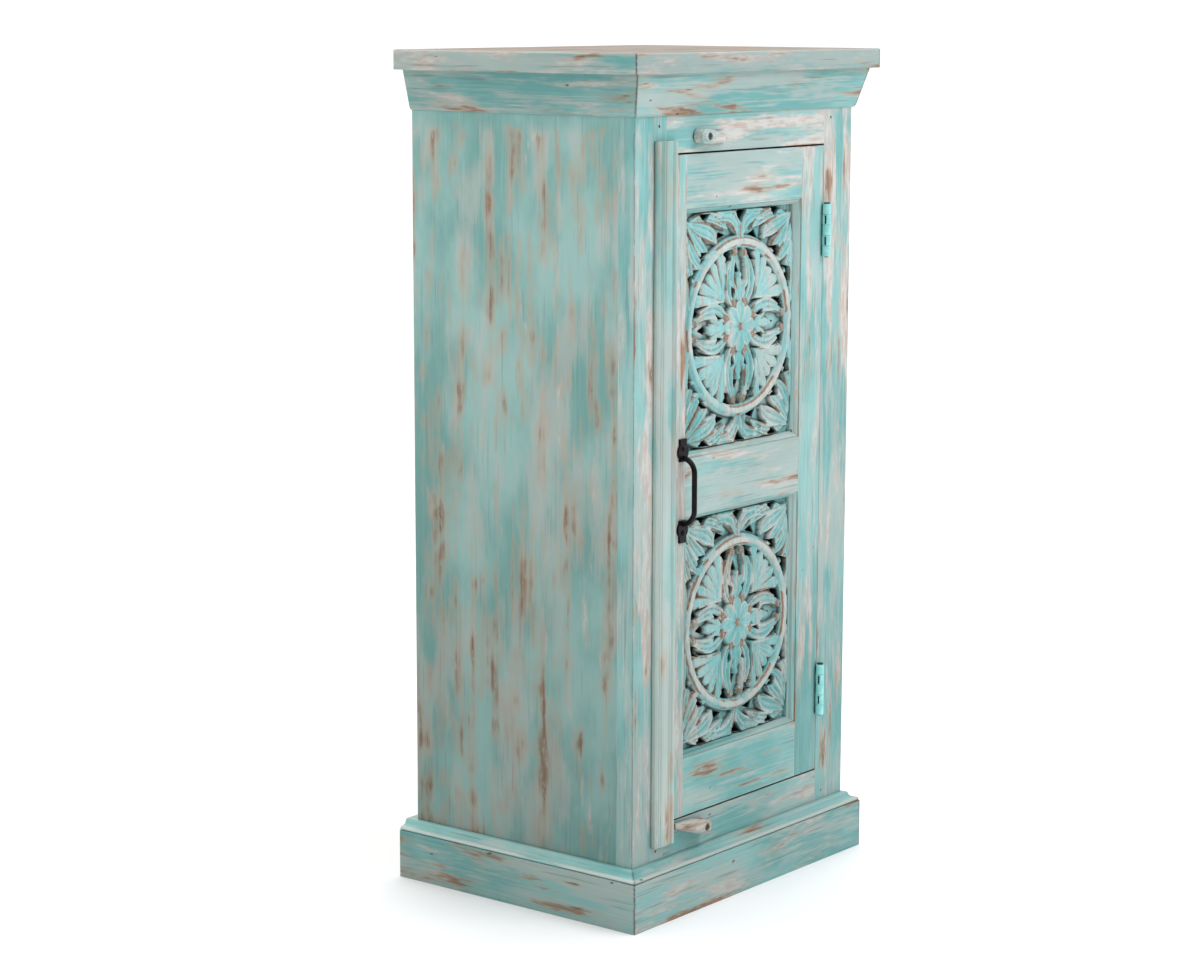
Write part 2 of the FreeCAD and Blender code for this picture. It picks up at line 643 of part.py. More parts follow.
# Base moulding: a round bead at the outer edge with a cove above it, as shares of reach and of height
BASE_PROFILE = (
    (0.95, 0),
    (1, 0.08),
    (1, 0.17),
    (0.97, 0.26),
    (0.91, 0.33),
    (0.83, 0.36),
    (0.72, 0.385),
    (0.6, 0.44),
    (0.51, 0.53),
    (0.45, 0.65),
    (0.42, 0.79),
    (0.38, 0.9),
    (0.31, 0.97),
    (0.22, 1),
)
SIDES = ("front", "left", "right")
OUTSIDE = dict(zip(SIDES, ("YMin", "XMin", "XMax")))
for side in SIDES:
    foot = band(side, "plinth_reach", "plinth_back_thickness")
    node(pad("plinth_" + side, "XY_Plane", foot, "plinth_board_height"))
    sections = []
    for reach, rise in BASE_PROFILE:
        corners = band(side, "base_moulding_reach * %s" % reach, "plinth_back_thickness")
        height = "plinth_board_height + (plinth_height - plinth_board_height) * %s" % rise
        sections.append((corners, height))
    node(loft("base_moulding_" + side, "XY_Plane", sections))
node(box("plinth_back", (LEFT, RIGHT), (BACK, plus(BACK, "plinth_back_thickness")), ("0", "plinth_height")))

# Crown mouldings: a slanted face over a small eased nose
for side in SIDES:
    sections = (
        (band(side, "crown_foot - crown_nose", "0"), CROWN_BOTTOM),
        (band(side, "crown_foot - crown_nose / 4", "0"), CROWN_BOTTOM + " + crown_nose * 0.5"),
        (band(side, "crown_foot + crown_nose / 4", "0"), CROWN_BOTTOM + " + crown_nose * 1.5"),
        (band(side, "crown_reach", "0"), "case_top"),
    )
    node(loft("crown_" + side, "XY_Plane", sections))

# Top: a panel with mitred edge boards on three sides
TOP = ("case_top", "case_top + top_thickness")
TOP_LEFT = minus(LEFT, "top_side_reach")
TOP_RIGHT = plus(RIGHT, "top_side_reach")
TOP_FRONT = minus(FRONT, "top_front_reach")
TOP_BACK = plus(BACK, "top_back_reach")
FIELD_LEFT = plus(TOP_LEFT, "top_edge_width")
FIELD_RIGHT = minus(TOP_RIGHT, "top_edge_width")
FIELD_FRONT = plus(TOP_FRONT, "top_edge_width")
node(box("top_panel", (FIELD_LEFT, FIELD_RIGHT), (FIELD_FRONT, TOP_BACK), TOP))
LEFT_MITRE = ((TOP_LEFT, TOP_FRONT), (FIELD_LEFT, FIELD_FRONT))
RIGHT_MITRE = ((TOP_RIGHT, TOP_FRONT), (FIELD_RIGHT, FIELD_FRONT))
edges = {
    "front": (*LEFT_MITRE[::-1], *RIGHT_MITRE),
    "left": (*LEFT_MITRE, (FIELD_LEFT, TOP_BACK), (TOP_LEFT, TOP_BACK)),
    "right": (*RIGHT_MITRE[::-1], (TOP_RIGHT, TOP_BACK), (FIELD_RIGHT, TOP_BACK)),
}
for side, limit in OUTSIDE.items():
    body = pad("top_edge_" + side, "XY_Plane", edges[side], "top_thickness", "case_top")
    high = at_limit(body.Shape, limit, size("case_top") + size("top_thickness"))
    node(round_edges(body, high, "top_edge_round"))

# Turn buttons on the face frame, each bored for its screw
BUTTON_SHAPE = (
    ("-button_tail", "-button_width / 4"),
    ("-button_tail * 0.6", "-button_width / 2"),
    ("button_nose * 0.35", "-button_width / 2"),
    ("button_nose", "-button_width / 5"),
    ("button_nose", "button_width / 5"),
    ("button_nose * 0.35", "button_width / 2"),
    ("-button_tail * 0.6", "button_width / 2"),
    ("-button_tail", "button_width / 4"),
)


def button_outline(share, reach):
    """The outline of a button shrunk to a share, with its nose drawn back to a share of its reach."""
    corners = []
    for u, v in BUTTON_SHAPE:
        along = reach if "nose" in u else "1"
        corners.append(("(%s) * %s * %s" % (u, share, along), "(%s) * %s" % (v, share)))
    return corners


for name, (x, z), turn in (
    ("upper", UPPER_BUTTON, size("upper_button_tilt")),
    ("lower", LOWER_BUTTON, 180 + size("lower_button_tilt")),
):
    sections = (
        (button_outline("1", "1"), "-(%s)" % BUTTON_BACK),
        (button_outline("1", "1"), "-(%s) + button_tip" % BUTTON_BACK),
        (button_outline("1", "0.6"), "-(%s) - button_bevel" % BUTTON_FRONT),
        (button_outline("0.72", "0.7"), "-(%s)" % BUTTON_FRONT),
    )
    blank = loft(name + "_button_blank", "XZ_Plane", sections)
    blank.Placement.Rotation = FreeCAD.Rotation(Y_AXIS, turn)
    bind(blank, "Placement.Base.x", x)
    bind(blank, "Placement.Base.z", z)
    start = (x, minus(BUTTON_FRONT, "1"), z)
    room = ("screw_shank_radius + turning_clearance", "screw_head_radius + turning_clearance")
    bore = cylinder(name + "_button_bore", room[0], start, "button_thickness + 2", Y_AXIS)
    sink = cylinder(name + "_button_sink", room[1], start, "screw_sink + 1", Y_AXIS)
    node(cut(name + "_turn_button", blank, bore, sink))

# Carved panels, laid out from their centre: u right, v up, w towards the viewer
OPENING_WIDTH = size("case_width") - 2 * (size("frame_stile_width") + size("door_side_gap"))
OPENING_HEIGHT = size("case_top") - size("frame_top_rail") - size("opening_bottom") - 2 * size("door_gap")
STILES = size("door_latch_stile") + size("door_hinge_stile")
RAIL_HEIGHTS = size("door_bottom_rail") + size("door_middle_rail") + size("door_top_rail")
SIGHT_U = (OPENING_WIDTH - STILES) / 2 - size("bead_width")
SIGHT_V = (OPENING_HEIGHT - RAIL_HEIGHTS) / 4 - size("bead_width")
RING_OUT = min(SIGHT_U, SIGHT_V) - size("ring_margin")
RING_IN = RING_OUT - 2 * size("ring_half_width")
CREST = size("carving_height")
EDGE = size("carving_edge")
ROOT = -size("panel_thickness") * 0.4
STEPS = 3


def point(place, height):
    return Vector(place[0], place[1], height)


def flat(points):
    return Part.Face(Part.makePolygon(list(points) + [points[0]]))


def leaf(path, width, crest, fullness=0.62):
    """A leaf with a raised midrib along a quadratic curve through three control points."""
    line = []
    for k in range(STEPS + 1):
        t = k / STEPS
        shares = ((1 - t) ** 2, 2 * t * (1 - t), t ** 2)
        line.append(tuple(sum(share * place[axis] for share, place in zip(shares, path)) for axis in (0, 1)))
    rims = ([], [])
    for k, (u, v) in enumerate(line):
        before, after = line[max(k - 1, 0)], line[min(k + 1, STEPS)]
        du, dv = after[0] - before[0], after[1] - before[1]
        half = width / 2 * math.sin(math.pi * (k / STEPS) ** fullness) / math.hypot(du, dv)
        if k in (0, STEPS):
            half = 0
        rims[0].append((u - dv * half, v + du * half))
        rims[1].append((u + dv * half, v - du * half))
    faces = []
    for rim in rims:
        for k in range(STEPS):
            start, end = rim[k], rim[k + 1]
            faces.append(flat((point(start, ROOT), point(end, ROOT), point(end, EDGE), point(start, EDGE))))
            if k > 0:
                faces.append(flat((point(start, EDGE), point(end, EDGE), point(line[k], crest))))
            if k < STEPS - 1:
                low = point(line[0], EDGE) if k == 0 else point(line[k], crest)
                faces.append(flat((point(end, EDGE), point(line[k + 1], crest), low)))
    faces.append(flat([point(place, ROOT) for place in rims[0] + rims[1][-2:0:-1]]))
    return Part.makeSolid(Part.makeShell(faces))


def in_ring(path, turns):
    """Places a path given in hundredths of the ring's inner radius, turned by quarter turns."""
    path = [(u * RING_IN / 100, v * RING_IN / 100) for u, v in path]
    for turn in range(turns):
        path = [(-v, u) for u, v in path]
    return path


def in_corner(path, way_u, way_v):
    """Places a path given in hundredths of the sight's half width and height, mirrored into a corner."""
    return [(u * way_u * SIGHT_U / 100, v * way_v * SIGHT_V / 100) for u, v in path]


def ray(start, angle, length):
    """A straight path of three points from a start at an angle."""
    du, dv = math.cos(math.radians(angle)) * length, math.sin(math.radians(angle)) * length
    return [(start[0] + du * share, start[1] + dv * share) for share in (0, 0.5, 1)]


CORNER_LEAVES = (
    ([(94, 14), (100, 35), (94, 55)], 11),
    ([(83, 43), (100, 54), (94, 75)], 14),
    ([(70, 54), (89, 61), (96, 84)], 17),
    ([(58, 63), (76, 70), (95, 90)], 18),
    ([(25, 84), (54, 101), (91, 91)], 15),
    ([(45, 74), (58, 88), (95, 93)], 20),
    ([(3, 78), (10, 103), (56, 89)], 21),
)
FAN_LOBES = (62, 55, 51, 55, 62)
RING_HOLES = (
    [(15, 99), (27, 97), (33, 82), (19, 85)],
    [(13, 35), (19, 53), (10, 48)],
)
CORNER_HOLES = (
    [(53, 99), (76, 99), (64, 91)],
    [(19, 78), (39, 74), (33, 82)],
    [(56, 66), (74, 55), (72, 66)],
    [(82, 49), (93, 32), (94, 46)],
)
EDGE_HOLE = [(-11, 99), (11, 99), (0, 88)]
BUD_HOLE = [(-6, 69), (6, 69), (0, 82)]


def ring_carving():
    """Leaves, fan lobes and buds inside the ring, and the holes between them."""
    relief = []
    holes = []
    scale = RING_IN / 100
    for turns in range(4):
        for lobe, length in enumerate(FAN_LOBES):
            path = in_ring(ray((33, 34), 4 + 20.5 * lobe, length), turns)
            relief.append(leaf(path, 18 * scale, CREST))
        for lean in (-34, 0, 34):
            path = in_ring(ray((0, 27), 90 + lean, 37), turns)
            relief.append(leaf(path, 15 * scale, CREST * 0.8))
        for way in (1, -1):
            path = in_ring([(way * 9, 25), (way * 38, 59), (way * 6, 100)], turns)
            relief.append(leaf(path, 20 * scale, CREST * 0.9))
            holes += [in_ring([(way * u, v) for u, v in shape], turns) for shape in RING_HOLES]
        holes.append(in_ring(BUD_HOLE, turns))
    return relief, holes


def corner_carving():
    """Leaves that fill the four corners outside the ring, and the holes between them."""
    relief = []
    holes = []
    for way_v in (1, -1):
        for way_u in (1, -1):
            for path, width in CORNER_LEAVES:
                relief.append(leaf(in_corner(path, way_u, way_v), width * SIGHT_U / 100, CREST * 0.9))
            holes += [in_corner(shape, way_u, way_v) for shape in CORNER_HOLES]
        holes.append(in_corner(EDGE_HOLE, 1, way_v))
    return relief, holes


def stud(place, wide, narrow, high):
    """A low eight-sided bead that narrows towards its top."""
    rings = []
    for radius, level in ((wide, ROOT), (narrow, high)):
        corners = [point(ray(place, 45 * side, radius)[2], level) for side in range(9)]
        rings.append(Part.makePolygon(corners))
    return Part.makeLoft(rings, True, True)


def rosette():
    """Eight petals over eight beads, with a boss at the centre."""
    rose = size("rosette_radius")
    forms = [stud((0, 0), rose * 0.33, rose * 0.2, CREST + rose * 0.04)]
    for petal in range(8):
        forms.append(leaf(ray((0, 0), 45 * petal, rose), rose * 0.82, CREST, 1.25))
        place = ray((0, 0), 45 * petal + 22.5, rose * 1.08)[2]
        forms.append(stud(place, rose * 0.18, rose * 0.1, CREST * 0.8))
    return forms


def carved_ring():
    """The ring, half round in section."""
    middle = (RING_IN + RING_OUT) / 2
    half = size("ring_half_width")
    high = size("ring_height")
    outline = ((-1, 0.25), (-0.6, 0.8), (0, 1), (0.6, 0.8), (1, 0.25))
    section = [Vector(middle + half * share, 0, high * height) for share, height in outline]
    section += [Vector(middle + half, 0, ROOT), Vector(middle - half, 0, ROOT)]
    return flat(section).revolve(Vector(0, 0, 0), Z_AXIS, 360)


def carved_panel():
    """A pierced plate with its carving, flat where its edges run in the grooves of the door."""
    ring_forms, ring_holes = ring_carving()
    corner_forms, corner_holes = corner_carving()
    forms = ring_forms + corner_forms + rosette() + [carved_ring()]
    thick = size("panel_thickness")
    wide = SIGHT_U + size("bead_width") + size("panel_tongue")
    tall = SIGHT_V + size("bead_width") + size("panel_tongue")
    plate = Part.makeBox(2 * wide, 2 * tall, thick, Vector(-wide, -tall, -thick))
    seen_u = SIGHT_U - size("joint_clearance")
    seen_v = SIGHT_V - size("joint_clearance")
    sight = Part.makeBox(2 * seen_u, 2 * seen_v, 4 * CREST, Vector(-seen_u, -seen_v, -CREST))
    margin = Part.makeBox(4 * wide, 4 * tall, 2 * CREST, Vector(-2 * wide, -2 * tall, 0)).cut(sight)
    deep = thick + 2 * CREST
    cutters = [
        flat([point(place, -thick - 1) for place in shape]).extrude(Z_AXIS * deep)
        for shape in ring_holes + corner_holes
    ]
    return plate.multiFuse(forms).cut(cutters + [margin]).removeSplitter()


carving = carved_panel()
for name, base in (("lower", LOWER_PANEL), ("upper", UPPER_PANEL)):
    panel = doc.addObject("Part::Feature", name + "_carved_panel")
    panel.Shape = carving
    panel.Placement.Rotation = FreeCAD.Rotation(X_AXIS, 90)
    bind(panel, "Placement.Base.x", "((%s) + (%s)) / 2" % (PANEL_LEFT, PANEL_RIGHT))
    bind(panel, "Placement.Base.y", PANEL_FRONT)
    bind(panel, "Placement.Base.z", plus(base, PANEL_OPENING + " / 2"))
    node(panel)

# Check and write
doc.recompute()
for item in doc.Objects:
    if "Invalid" in item.State or "Error" in item.State:
        raise RuntimeError("%s did not build" % item.Name)
for item in nodes:
    if item.Shape.isNull() or not item.Shape.isValid():
        raise RuntimeError("%s has no valid shape" % item.Label)
    item.Shape.exportStep("parts/%s.step" % item.Label)
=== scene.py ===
import json
import math

import bpy
import numpy as np
from mathutils import Matrix, Vector


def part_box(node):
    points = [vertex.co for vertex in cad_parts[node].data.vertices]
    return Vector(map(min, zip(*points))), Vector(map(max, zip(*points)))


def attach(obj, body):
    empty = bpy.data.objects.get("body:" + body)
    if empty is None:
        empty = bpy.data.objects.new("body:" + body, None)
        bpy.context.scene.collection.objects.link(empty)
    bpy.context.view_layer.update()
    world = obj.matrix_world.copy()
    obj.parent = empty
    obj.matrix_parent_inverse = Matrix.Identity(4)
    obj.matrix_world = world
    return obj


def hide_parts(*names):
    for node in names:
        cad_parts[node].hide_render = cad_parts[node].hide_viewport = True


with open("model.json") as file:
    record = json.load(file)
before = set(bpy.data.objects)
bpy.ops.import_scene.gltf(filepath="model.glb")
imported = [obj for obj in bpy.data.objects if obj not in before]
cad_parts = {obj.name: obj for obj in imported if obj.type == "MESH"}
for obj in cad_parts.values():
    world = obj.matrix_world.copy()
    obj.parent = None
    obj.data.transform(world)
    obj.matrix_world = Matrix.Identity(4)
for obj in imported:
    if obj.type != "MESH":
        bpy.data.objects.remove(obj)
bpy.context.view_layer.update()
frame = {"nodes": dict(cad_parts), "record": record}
MM = 0.001
ACROSS, DEEP, UPRIGHT = 0, 1, 2

# Node trees
EDGE_ROUND = 0.0012


class Nodes:
    """Builds the node tree of a material or of the world."""

    def __init__(self, owner):
        owner.use_nodes = True
        self.tree = owner.node_tree
        self.tree.nodes.clear()

    def put(self, socket, value):
        """Links a socket to another one, or sets its own value."""
        if isinstance(value, bpy.types.NodeSocket):
            self.tree.links.new(value, socket)
        else:
            socket.default_value = value

    def node(self, kind, inputs=None, **settings):
        item = self.tree.nodes.new(kind)
        for key, value in settings.items():
            setattr(item, key, value)
        for key, value in (inputs or {}).items():
            self.put(item.inputs[key], value)
        return item

    def calc(self, operation, *inputs):
        return self.node("ShaderNodeMath", dict(enumerate(inputs)), operation=operation).outputs[0]

    def vector(self, operation, *inputs):
        return self.node("ShaderNodeVectorMath", dict(enumerate(inputs)), operation=operation).outputs

    def span(self, value, low, high, at_low, at_high):
        """Goes straight from at_low where the value is low to at_high where it is high."""
        return self.node("ShaderNodeMapRange", {
            "Value": value, "From Min": low, "From Max": high, "To Min": at_low, "To Max": at_high,
        }).outputs["Result"]


class Shader(Nodes):
    """A procedural material whose textures follow the object's own coordinates."""

    def __init__(self, name, shift=0.0):
        self.material = bpy.data.materials.new(name)
        super().__init__(self.material)
        self.place = self.node("ShaderNodeTexCoord").outputs["Object"]
        self.shift = shift
        self.colour = None

    def noise(self, scale, stretch=(1, 1, 1), detail=3.0, roughness=0.55, shift=0.0):
        """Noise of a given scale per metre, slowed down along the axes whose stretch is small."""
        mapping = self.node("ShaderNodeMapping", {
            "Vector": self.place,
            "Location": (self.shift + shift, self.shift + shift * 0.7, self.shift + shift * 1.3),
            "Scale": tuple(scale * part for part in stretch),
        })
        return self.node("ShaderNodeTexNoise", {
            "Vector": mapping.outputs["Vector"],
            "Scale": 1.0,
            "Detail": detail,
            "Roughness": roughness,
        }).outputs["Fac"]

    def fade(self, value, low, high):
        """Goes smoothly from 0 at low to 1 at high."""
        return self.node("ShaderNodeMapRange", {
            "Value": value, "From Min": low, "From Max": high,
        }, interpolation_type="SMOOTHSTEP").outputs["Result"]

    def times(self, first, second):
        return self.calc("MULTIPLY", first, second)

    def sum(self, first, second):
        return self.calc("ADD", first, second)

    def mix(self, share, first, second, blend="MIX"):
        item = self.node("ShaderNodeMix", data_type="RGBA", blend_type=blend)
        for socket, value in ((item.inputs[0], share), (item.inputs[6], first), (item.inputs[7], second)):
            self.put(socket, value)
        return item.outputs[2]

    def layer(self, over, mask, strength=1.0, blend="MIX"):
        """Lays a colour over what is there, where a mask lets it show."""
        self.colour = self.mix(self.times(mask, strength), self.colour, over, blend)

    def attribute(self, name):
        return self.node("ShaderNodeAttribute", attribute_name=name).outputs["Fac"]

    def normal(self):
        return self.node("ShaderNodeNewGeometry").outputs["Normal"]

    def axes(self, vector):
        return self.node("ShaderNodeSeparateXYZ", {"Vector": vector}).outputs

    def openness(self, distance):
        """1 on open faces, and less in creases."""
        return self.node("ShaderNodeAmbientOcclusion", {"Distance": distance}, samples=6).outputs["AO"]

    def rounded(self, radius):
        """The normal of a surface with its sharp edges rounded."""
        return self.node("ShaderNodeBevel", {"Radius": radius}, samples=4).outputs["Normal"]

    def edge(self, rounded, low, high):
        """1 near sharp edges, where the rounded normal turns away from the face's own."""
        turn = self.vector("DOT_PRODUCT", rounded, self.normal())["Value"]
        return self.fade(turn, high, low)

    def upright_edge(self, rounded):
        """1 near sharp edges that stand upright."""
        tilt = self.vector("SUBTRACT", rounded, self.normal())["Vector"]
        level = self.vector("MULTIPLY", tilt, (1, 1, 0))["Vector"]
        return self.fade(self.vector("LENGTH", level)["Value"], 0.25, 0.5)

    def finish(self, roughness, height, depth, specular, metallic=0.0, round_edges=EDGE_ROUND):
        relief = {"Height": height, "Distance": depth, "Strength": 0.8}
        if round_edges:
            relief["Normal"] = self.rounded(round_edges)
        shader = self.node("ShaderNodeBsdfPrincipled", {
            "Base Color": self.colour,
            "Roughness": roughness,
            "Normal": self.node("ShaderNodeBump", relief).outputs["Normal"],
            "Specular IOR Level": specular,
            "Metallic": metallic,
        })
        self.node("ShaderNodeOutputMaterial", {"Surface": shader.outputs["BSDF"]})
        return self.material


# Colours


def rgb(red, green, blue):
    """A linear colour from screen values of 0 to 255."""
    def linear(value):
        value /= 255
        return value / 12.92 if value <= 0.04045 else ((value + 0.055) / 1.055) ** 2.4
    return (linear(red), linear(green), linear(blue), 1.0)


PAINT = rgb(156, 207, 203)
PAINT_DEEP = rgb(118, 184, 181)
PAINT_LIGHT = rgb(188, 219, 215)
PAINT_FRESH = rgb(155, 214, 213)
PAINT_FRESH_DEEP = rgb(116, 191, 191)
PAINT_FADED = rgb(168, 209, 203)
PAINT_DULL = rgb(133, 184, 178)
VEIL = rgb(205, 206, 199)
UNDERCOAT = rgb(228, 221, 214)
PINKISH = rgb(214, 194, 183)
WOOD = rgb(180, 138, 108)
WOOD_DARK = rgb(132, 94, 70)
TAN = rgb(206, 178, 154)
DUST = rgb(150, 138, 124)
JOINT = rgb(84, 66, 54)
# painted shade: the dark tone of creases, and the tone that darkens towards the floor
CREASE_SHADE = rgb(44, 50, 48)
PAINTED_SHADE = (0.42, 0.46, 0.45, 1.0)
SCRATCH = rgb(116, 124, 122)
SHADOW = rgb(84, 136, 136)
# painted shade in the carving's incised lines and in its holes
INCISED_SHADE = rgb(92, 72, 58)
HOLE_SHADE = rgb(40, 36, 33)
SAWN = rgb(178, 138, 100)
SAWN_RING = rgb(146, 108, 76)
SAWN_STAIN = rgb(128, 92, 64)
SAWN_PORE = rgb(92, 62, 42)
FLOOR_TONES = (rgb(244, 244, 244), rgb(250, 250, 250))

# Worn paint and painted shade. Heights and places on the cabinet are in metres.
BEAD_CREST = 0.0585
MITRE_OUT = (0.2022, 0.2032)
MITRE_FRONT = (-0.1552, -0.1562)
# height where the painted shade towards the floor is full
FULL_SHADE_HEIGHT = 0.12


def slowed(grain, share):
    """Scales that slow a texture down along the grain axis."""
    return [share if axis == grain else 1.0 for axis in range(3)]


class WornPaint(Shader):
    """Distressed paint over a pale undercoat and brown wood, worn along the grain axis.

    Soft paint is rubbed in long faint columns instead of crisp patches.
    """

    def __init__(self, name, grain, soft, seed):
        super().__init__(name, seed)
        self.grain = grain
        self.soft = soft
        self.kept = 1.0
        self.along = slowed(grain, 0.21 if soft else 0.14)
        short = slowed(grain, 0.3 if soft else 0.2)
        self.spot = self.axes(self.place)
        self.mottle = self.noise(8, [0.5 + 0.5 * part for part in self.along], 4, 0.6, 1.7)
        self.brush = self.noise(420, slowed(grain, 0.03), 2, 0.5, 3.1)
        self.thin = self.noise(24, short, 4, 0.52 if soft else 0.66, 31.3)
        self.patches = self.noise(60, self.along, 4, 0.62, 5.3)
        self.areas = self.noise(6, self.along, 2, 0.5, 8.9)
        self.fine = self.noise(260, short, 3, 0.6, 21.7)
        self.streaks = self.columns() if soft else self.noise(64, self.along, 3, 0.58, 12.4)
        self.tint = self.mix(self.fade(self.fine, 0.4, 0.62), UNDERCOAT, PINKISH)
        self.shade = self.mix(self.fade(self.brush, 0.35, 0.65), WOOD_DARK, WOOD)

    def columns(self):
        """Long columns chopped into streaks, with more of them towards the floor."""
        long = self.times(self.noise(92, slowed(self.grain, 0.06), 1.4, 0.5, 12.4), 0.8)
        chopped = self.times(self.noise(56, slowed(self.grain, 0.5), 1.2, 0.5, 17.9), 0.62)
        return self.sum(self.sum(long, chopped), self.span(self.spot["Z"], 0.12, 0.5, -0.17, -0.21))

    def keep(self, clean, front):
        """Spares the paint near the top of a side, and some of it on faces that don't look forward."""
        if clean:
            height = self.sum(self.spot["Z"], self.times(self.thin, 0.05))
            self.kept = self.fade(height, clean[1], clean[0])
        if front:
            forward = self.fade(self.axes(self.normal())["Y"], -0.4, -0.7)
            self.kept = self.sum(self.times(forward, 0.45), 0.55)

    def lay_coats(self, coat, veiled, scraped):
        """Two tones of paint, a thin coat that lets the undercoat show, and patches scraped down to it."""
        self.colour = self.mix(self.fade(self.mottle, 0.38, 0.62), *coat)
        self.layer(PAINT_LIGHT, self.fade(self.brush, 0.5, 0.78), 0.25 if self.soft else 0.45)
        thin = self.sum(self.thin, self.times(self.brush, 0.12 if self.soft else 0.25))
        veil = self.fade(thin, 0.70 - 0.2 * veiled, 0.85 - 0.2 * veiled)
        self.layer(VEIL, self.times(veil, 0.6), self.kept)
        cover = self.sum(self.times(self.patches, 0.75), self.times(self.areas, 0.55))
        level = 0.86 - 0.24 * scraped
        self.bare = self.times(self.fade(cover, level - 0.05, level + 0.08), self.kept)
        self.layer(self.tint, self.bare, 0.88)

    def lay_wood_bare(self, browned):
        """Short streaks of bare wood, each with a tan halo round a brown core."""
        start = 0.69 - 0.12 * browned
        before, low, high = (0.15, 0.01, 0.2) if self.soft else (0.075, -0.01, 0.07)
        self.streaks = self.sum(self.times(self.streaks, self.kept), self.times(self.bare, 0.035))
        self.layer(TAN, self.fade(self.streaks, start - before, start + 0.04), 0.44)
        core = self.fade(self.streaks, start + low, start + high)
        self.layer(self.shade, self.times(core, self.fade(self.fine, 0.25, 0.52)), 0.85)

    def draw_grain(self, lined):
        """Fine dark lines of the grain, longer and closer on mouldings."""
        lines = self.noise(330, slowed(self.grain, 0.006 if lined else 0.035), 1, 0.5, 51.3)
        low, high = (0.58, 0.68) if lined else (0.62, 0.74)
        self.layer(SCRATCH, self.fade(lines, low, high), lined or (0.28 if self.soft else 0.4))

    def rub_edges(self, edge, crest):
        """Edges and a moulding's crest rubbed through, the crest's pale band partly a painted highlight, with
        dark joints at the mitred corners.
        """
        rounded = self.rounded(0.003)
        rim = self.edge(rounded, 0.90, 0.995)
        paled = self.times(rim, self.fade(self.patches, 0.40, 0.56))
        self.layer(UNDERCOAT, paled, 0.2 + 0.6 * edge)
        reach = self.sum(self.streaks, self.times(self.areas, 0.5))
        rubbed = self.times(rim, self.fade(reach, 0.92 - 0.2 * edge, 0.98 - 0.2 * edge))
        self.layer(WOOD, rubbed, 0.85)
        # the pale band along the crest height is partly rubbed paint and partly a painted highlight
        if crest:
            away = self.calc("ABSOLUTE", self.calc("SUBTRACT", self.spot["Z"], crest))
            ridge_wear_and_highlight = self.times(self.fade(away, 0.0018, 0.0006), self.fade(self.patches, 0.3, 0.5))
            self.layer(UNDERCOAT, ridge_wear_and_highlight, 0.75)
        out = self.calc("ABSOLUTE", self.spot["X"])
        corner = self.times(self.fade(out, *MITRE_OUT), self.fade(self.spot["Y"], *MITRE_FRONT))
        joint = self.times(corner, self.upright_edge(rounded))
        self.layer(JOINT, self.times(joint, self.fade(self.fine, 0.3, 0.5)), 0.7)

    def wear_carving(self):
        """Rubbed crests, painted shade in the hollows, brown rims, and painted shade in the incised lines and
        on the walls of the holes, by the carving's own masks.
        """
        rub = self.fade(self.sum(self.attribute("pale"), self.times(self.fine, 0.8)), 0.65, 1.2)
        self.layer(self.mix(0.25, self.tint, PAINT_LIGHT), rub, 0.8)
        self.layer(SHADOW, self.attribute("hollow"), 0.75)
        brown = self.fade(self.sum(self.attribute("worn"), self.times(self.fine, 0.6)), 0.75, 1.1)
        self.layer(self.shade, brown, 0.85)
        # painted shade, in a brown tone, in the incised lines
        self.layer(INCISED_SHADE, self.attribute("line"), 0.8)
        # painted shade on the walls of the holes, darkening inwards from the front
        self.layer(HOLE_SHADE, self.fade(self.attribute("hole_shade"), 0.0, 0.5))

    def settle_dust(self, dusty):
        """Dust on the faces that look up."""
        upward = self.fade(self.axes(self.normal())["Z"], 0.75, 0.95)
        self.layer(self.mix(self.fade(self.brush, 0.4, 0.6), WOOD_DARK, DUST), upward, dusty)

    def paint_shade_and_knots(self, grime_and_shade, knotted):
        """Painted shade in the creases, dark knots, and painted shade that grows from a height down to the
        floor.
        """
        # painted shade in creases and gaps, where little space is open round a point
        self.layer(CREASE_SHADE, self.fade(self.openness(0.007), 0.52, 0.1), 0.85)
        if knotted:
            knots = self.noise(95, [0.4 + 0.6 * part for part in self.along], 1, 0.5, 44.1)
            self.layer(JOINT, self.fade(knots, 0.77, 0.8), 0.75)
        # painted shade, darker from a given height down to the floor, by a given strength
        top, strength = grime_and_shade
        low = self.fade(self.sum(self.spot["Z"], self.times(self.mottle, 0.25)), top, FULL_SHADE_HEIGHT)
        self.layer(PAINTED_SHADE, low, strength, "MULTIPLY")


def worn_paint(name, grain, veiled, scraped, browned, edge, soft=False, dusty=0.0, clean=None, carved=False,
               grime_and_shade=(0.9, 0.55), crest=None, lined=0.0, front=False, coat=(PAINT_DEEP, PAINT), seed=0.0):
    """Paint worn by shares: thin coat, scraped patches, bare wood and rubbed edges, with painted shade in the
    creases and towards the floor.
    """
    paint = WornPaint(name, grain, soft, seed)
    paint.keep(clean, front)
    paint.lay_coats(coat, veiled, scraped)
    paint.lay_wood_bare(browned)
    paint.draw_grain(lined)
    paint.rub_edges(edge, crest)
    if carved:
        paint.wear_carving()
    if dusty:
        paint.settle_dust(dusty)
    paint.paint_shade_and_knots(grime_and_shade, knotted=not carved and not soft)
    height = paint.sum(paint.times(paint.brush, 0.5), paint.times(paint.bare, -0.35))
    rough = paint.span(paint.bare, 0.0, 1.0, 0.52, 0.72)
    return paint.finish(rough, height, 0.0006, 0.3, round_edges=0.0 if carved else EDGE_ROUND)


# Bare wood and iron


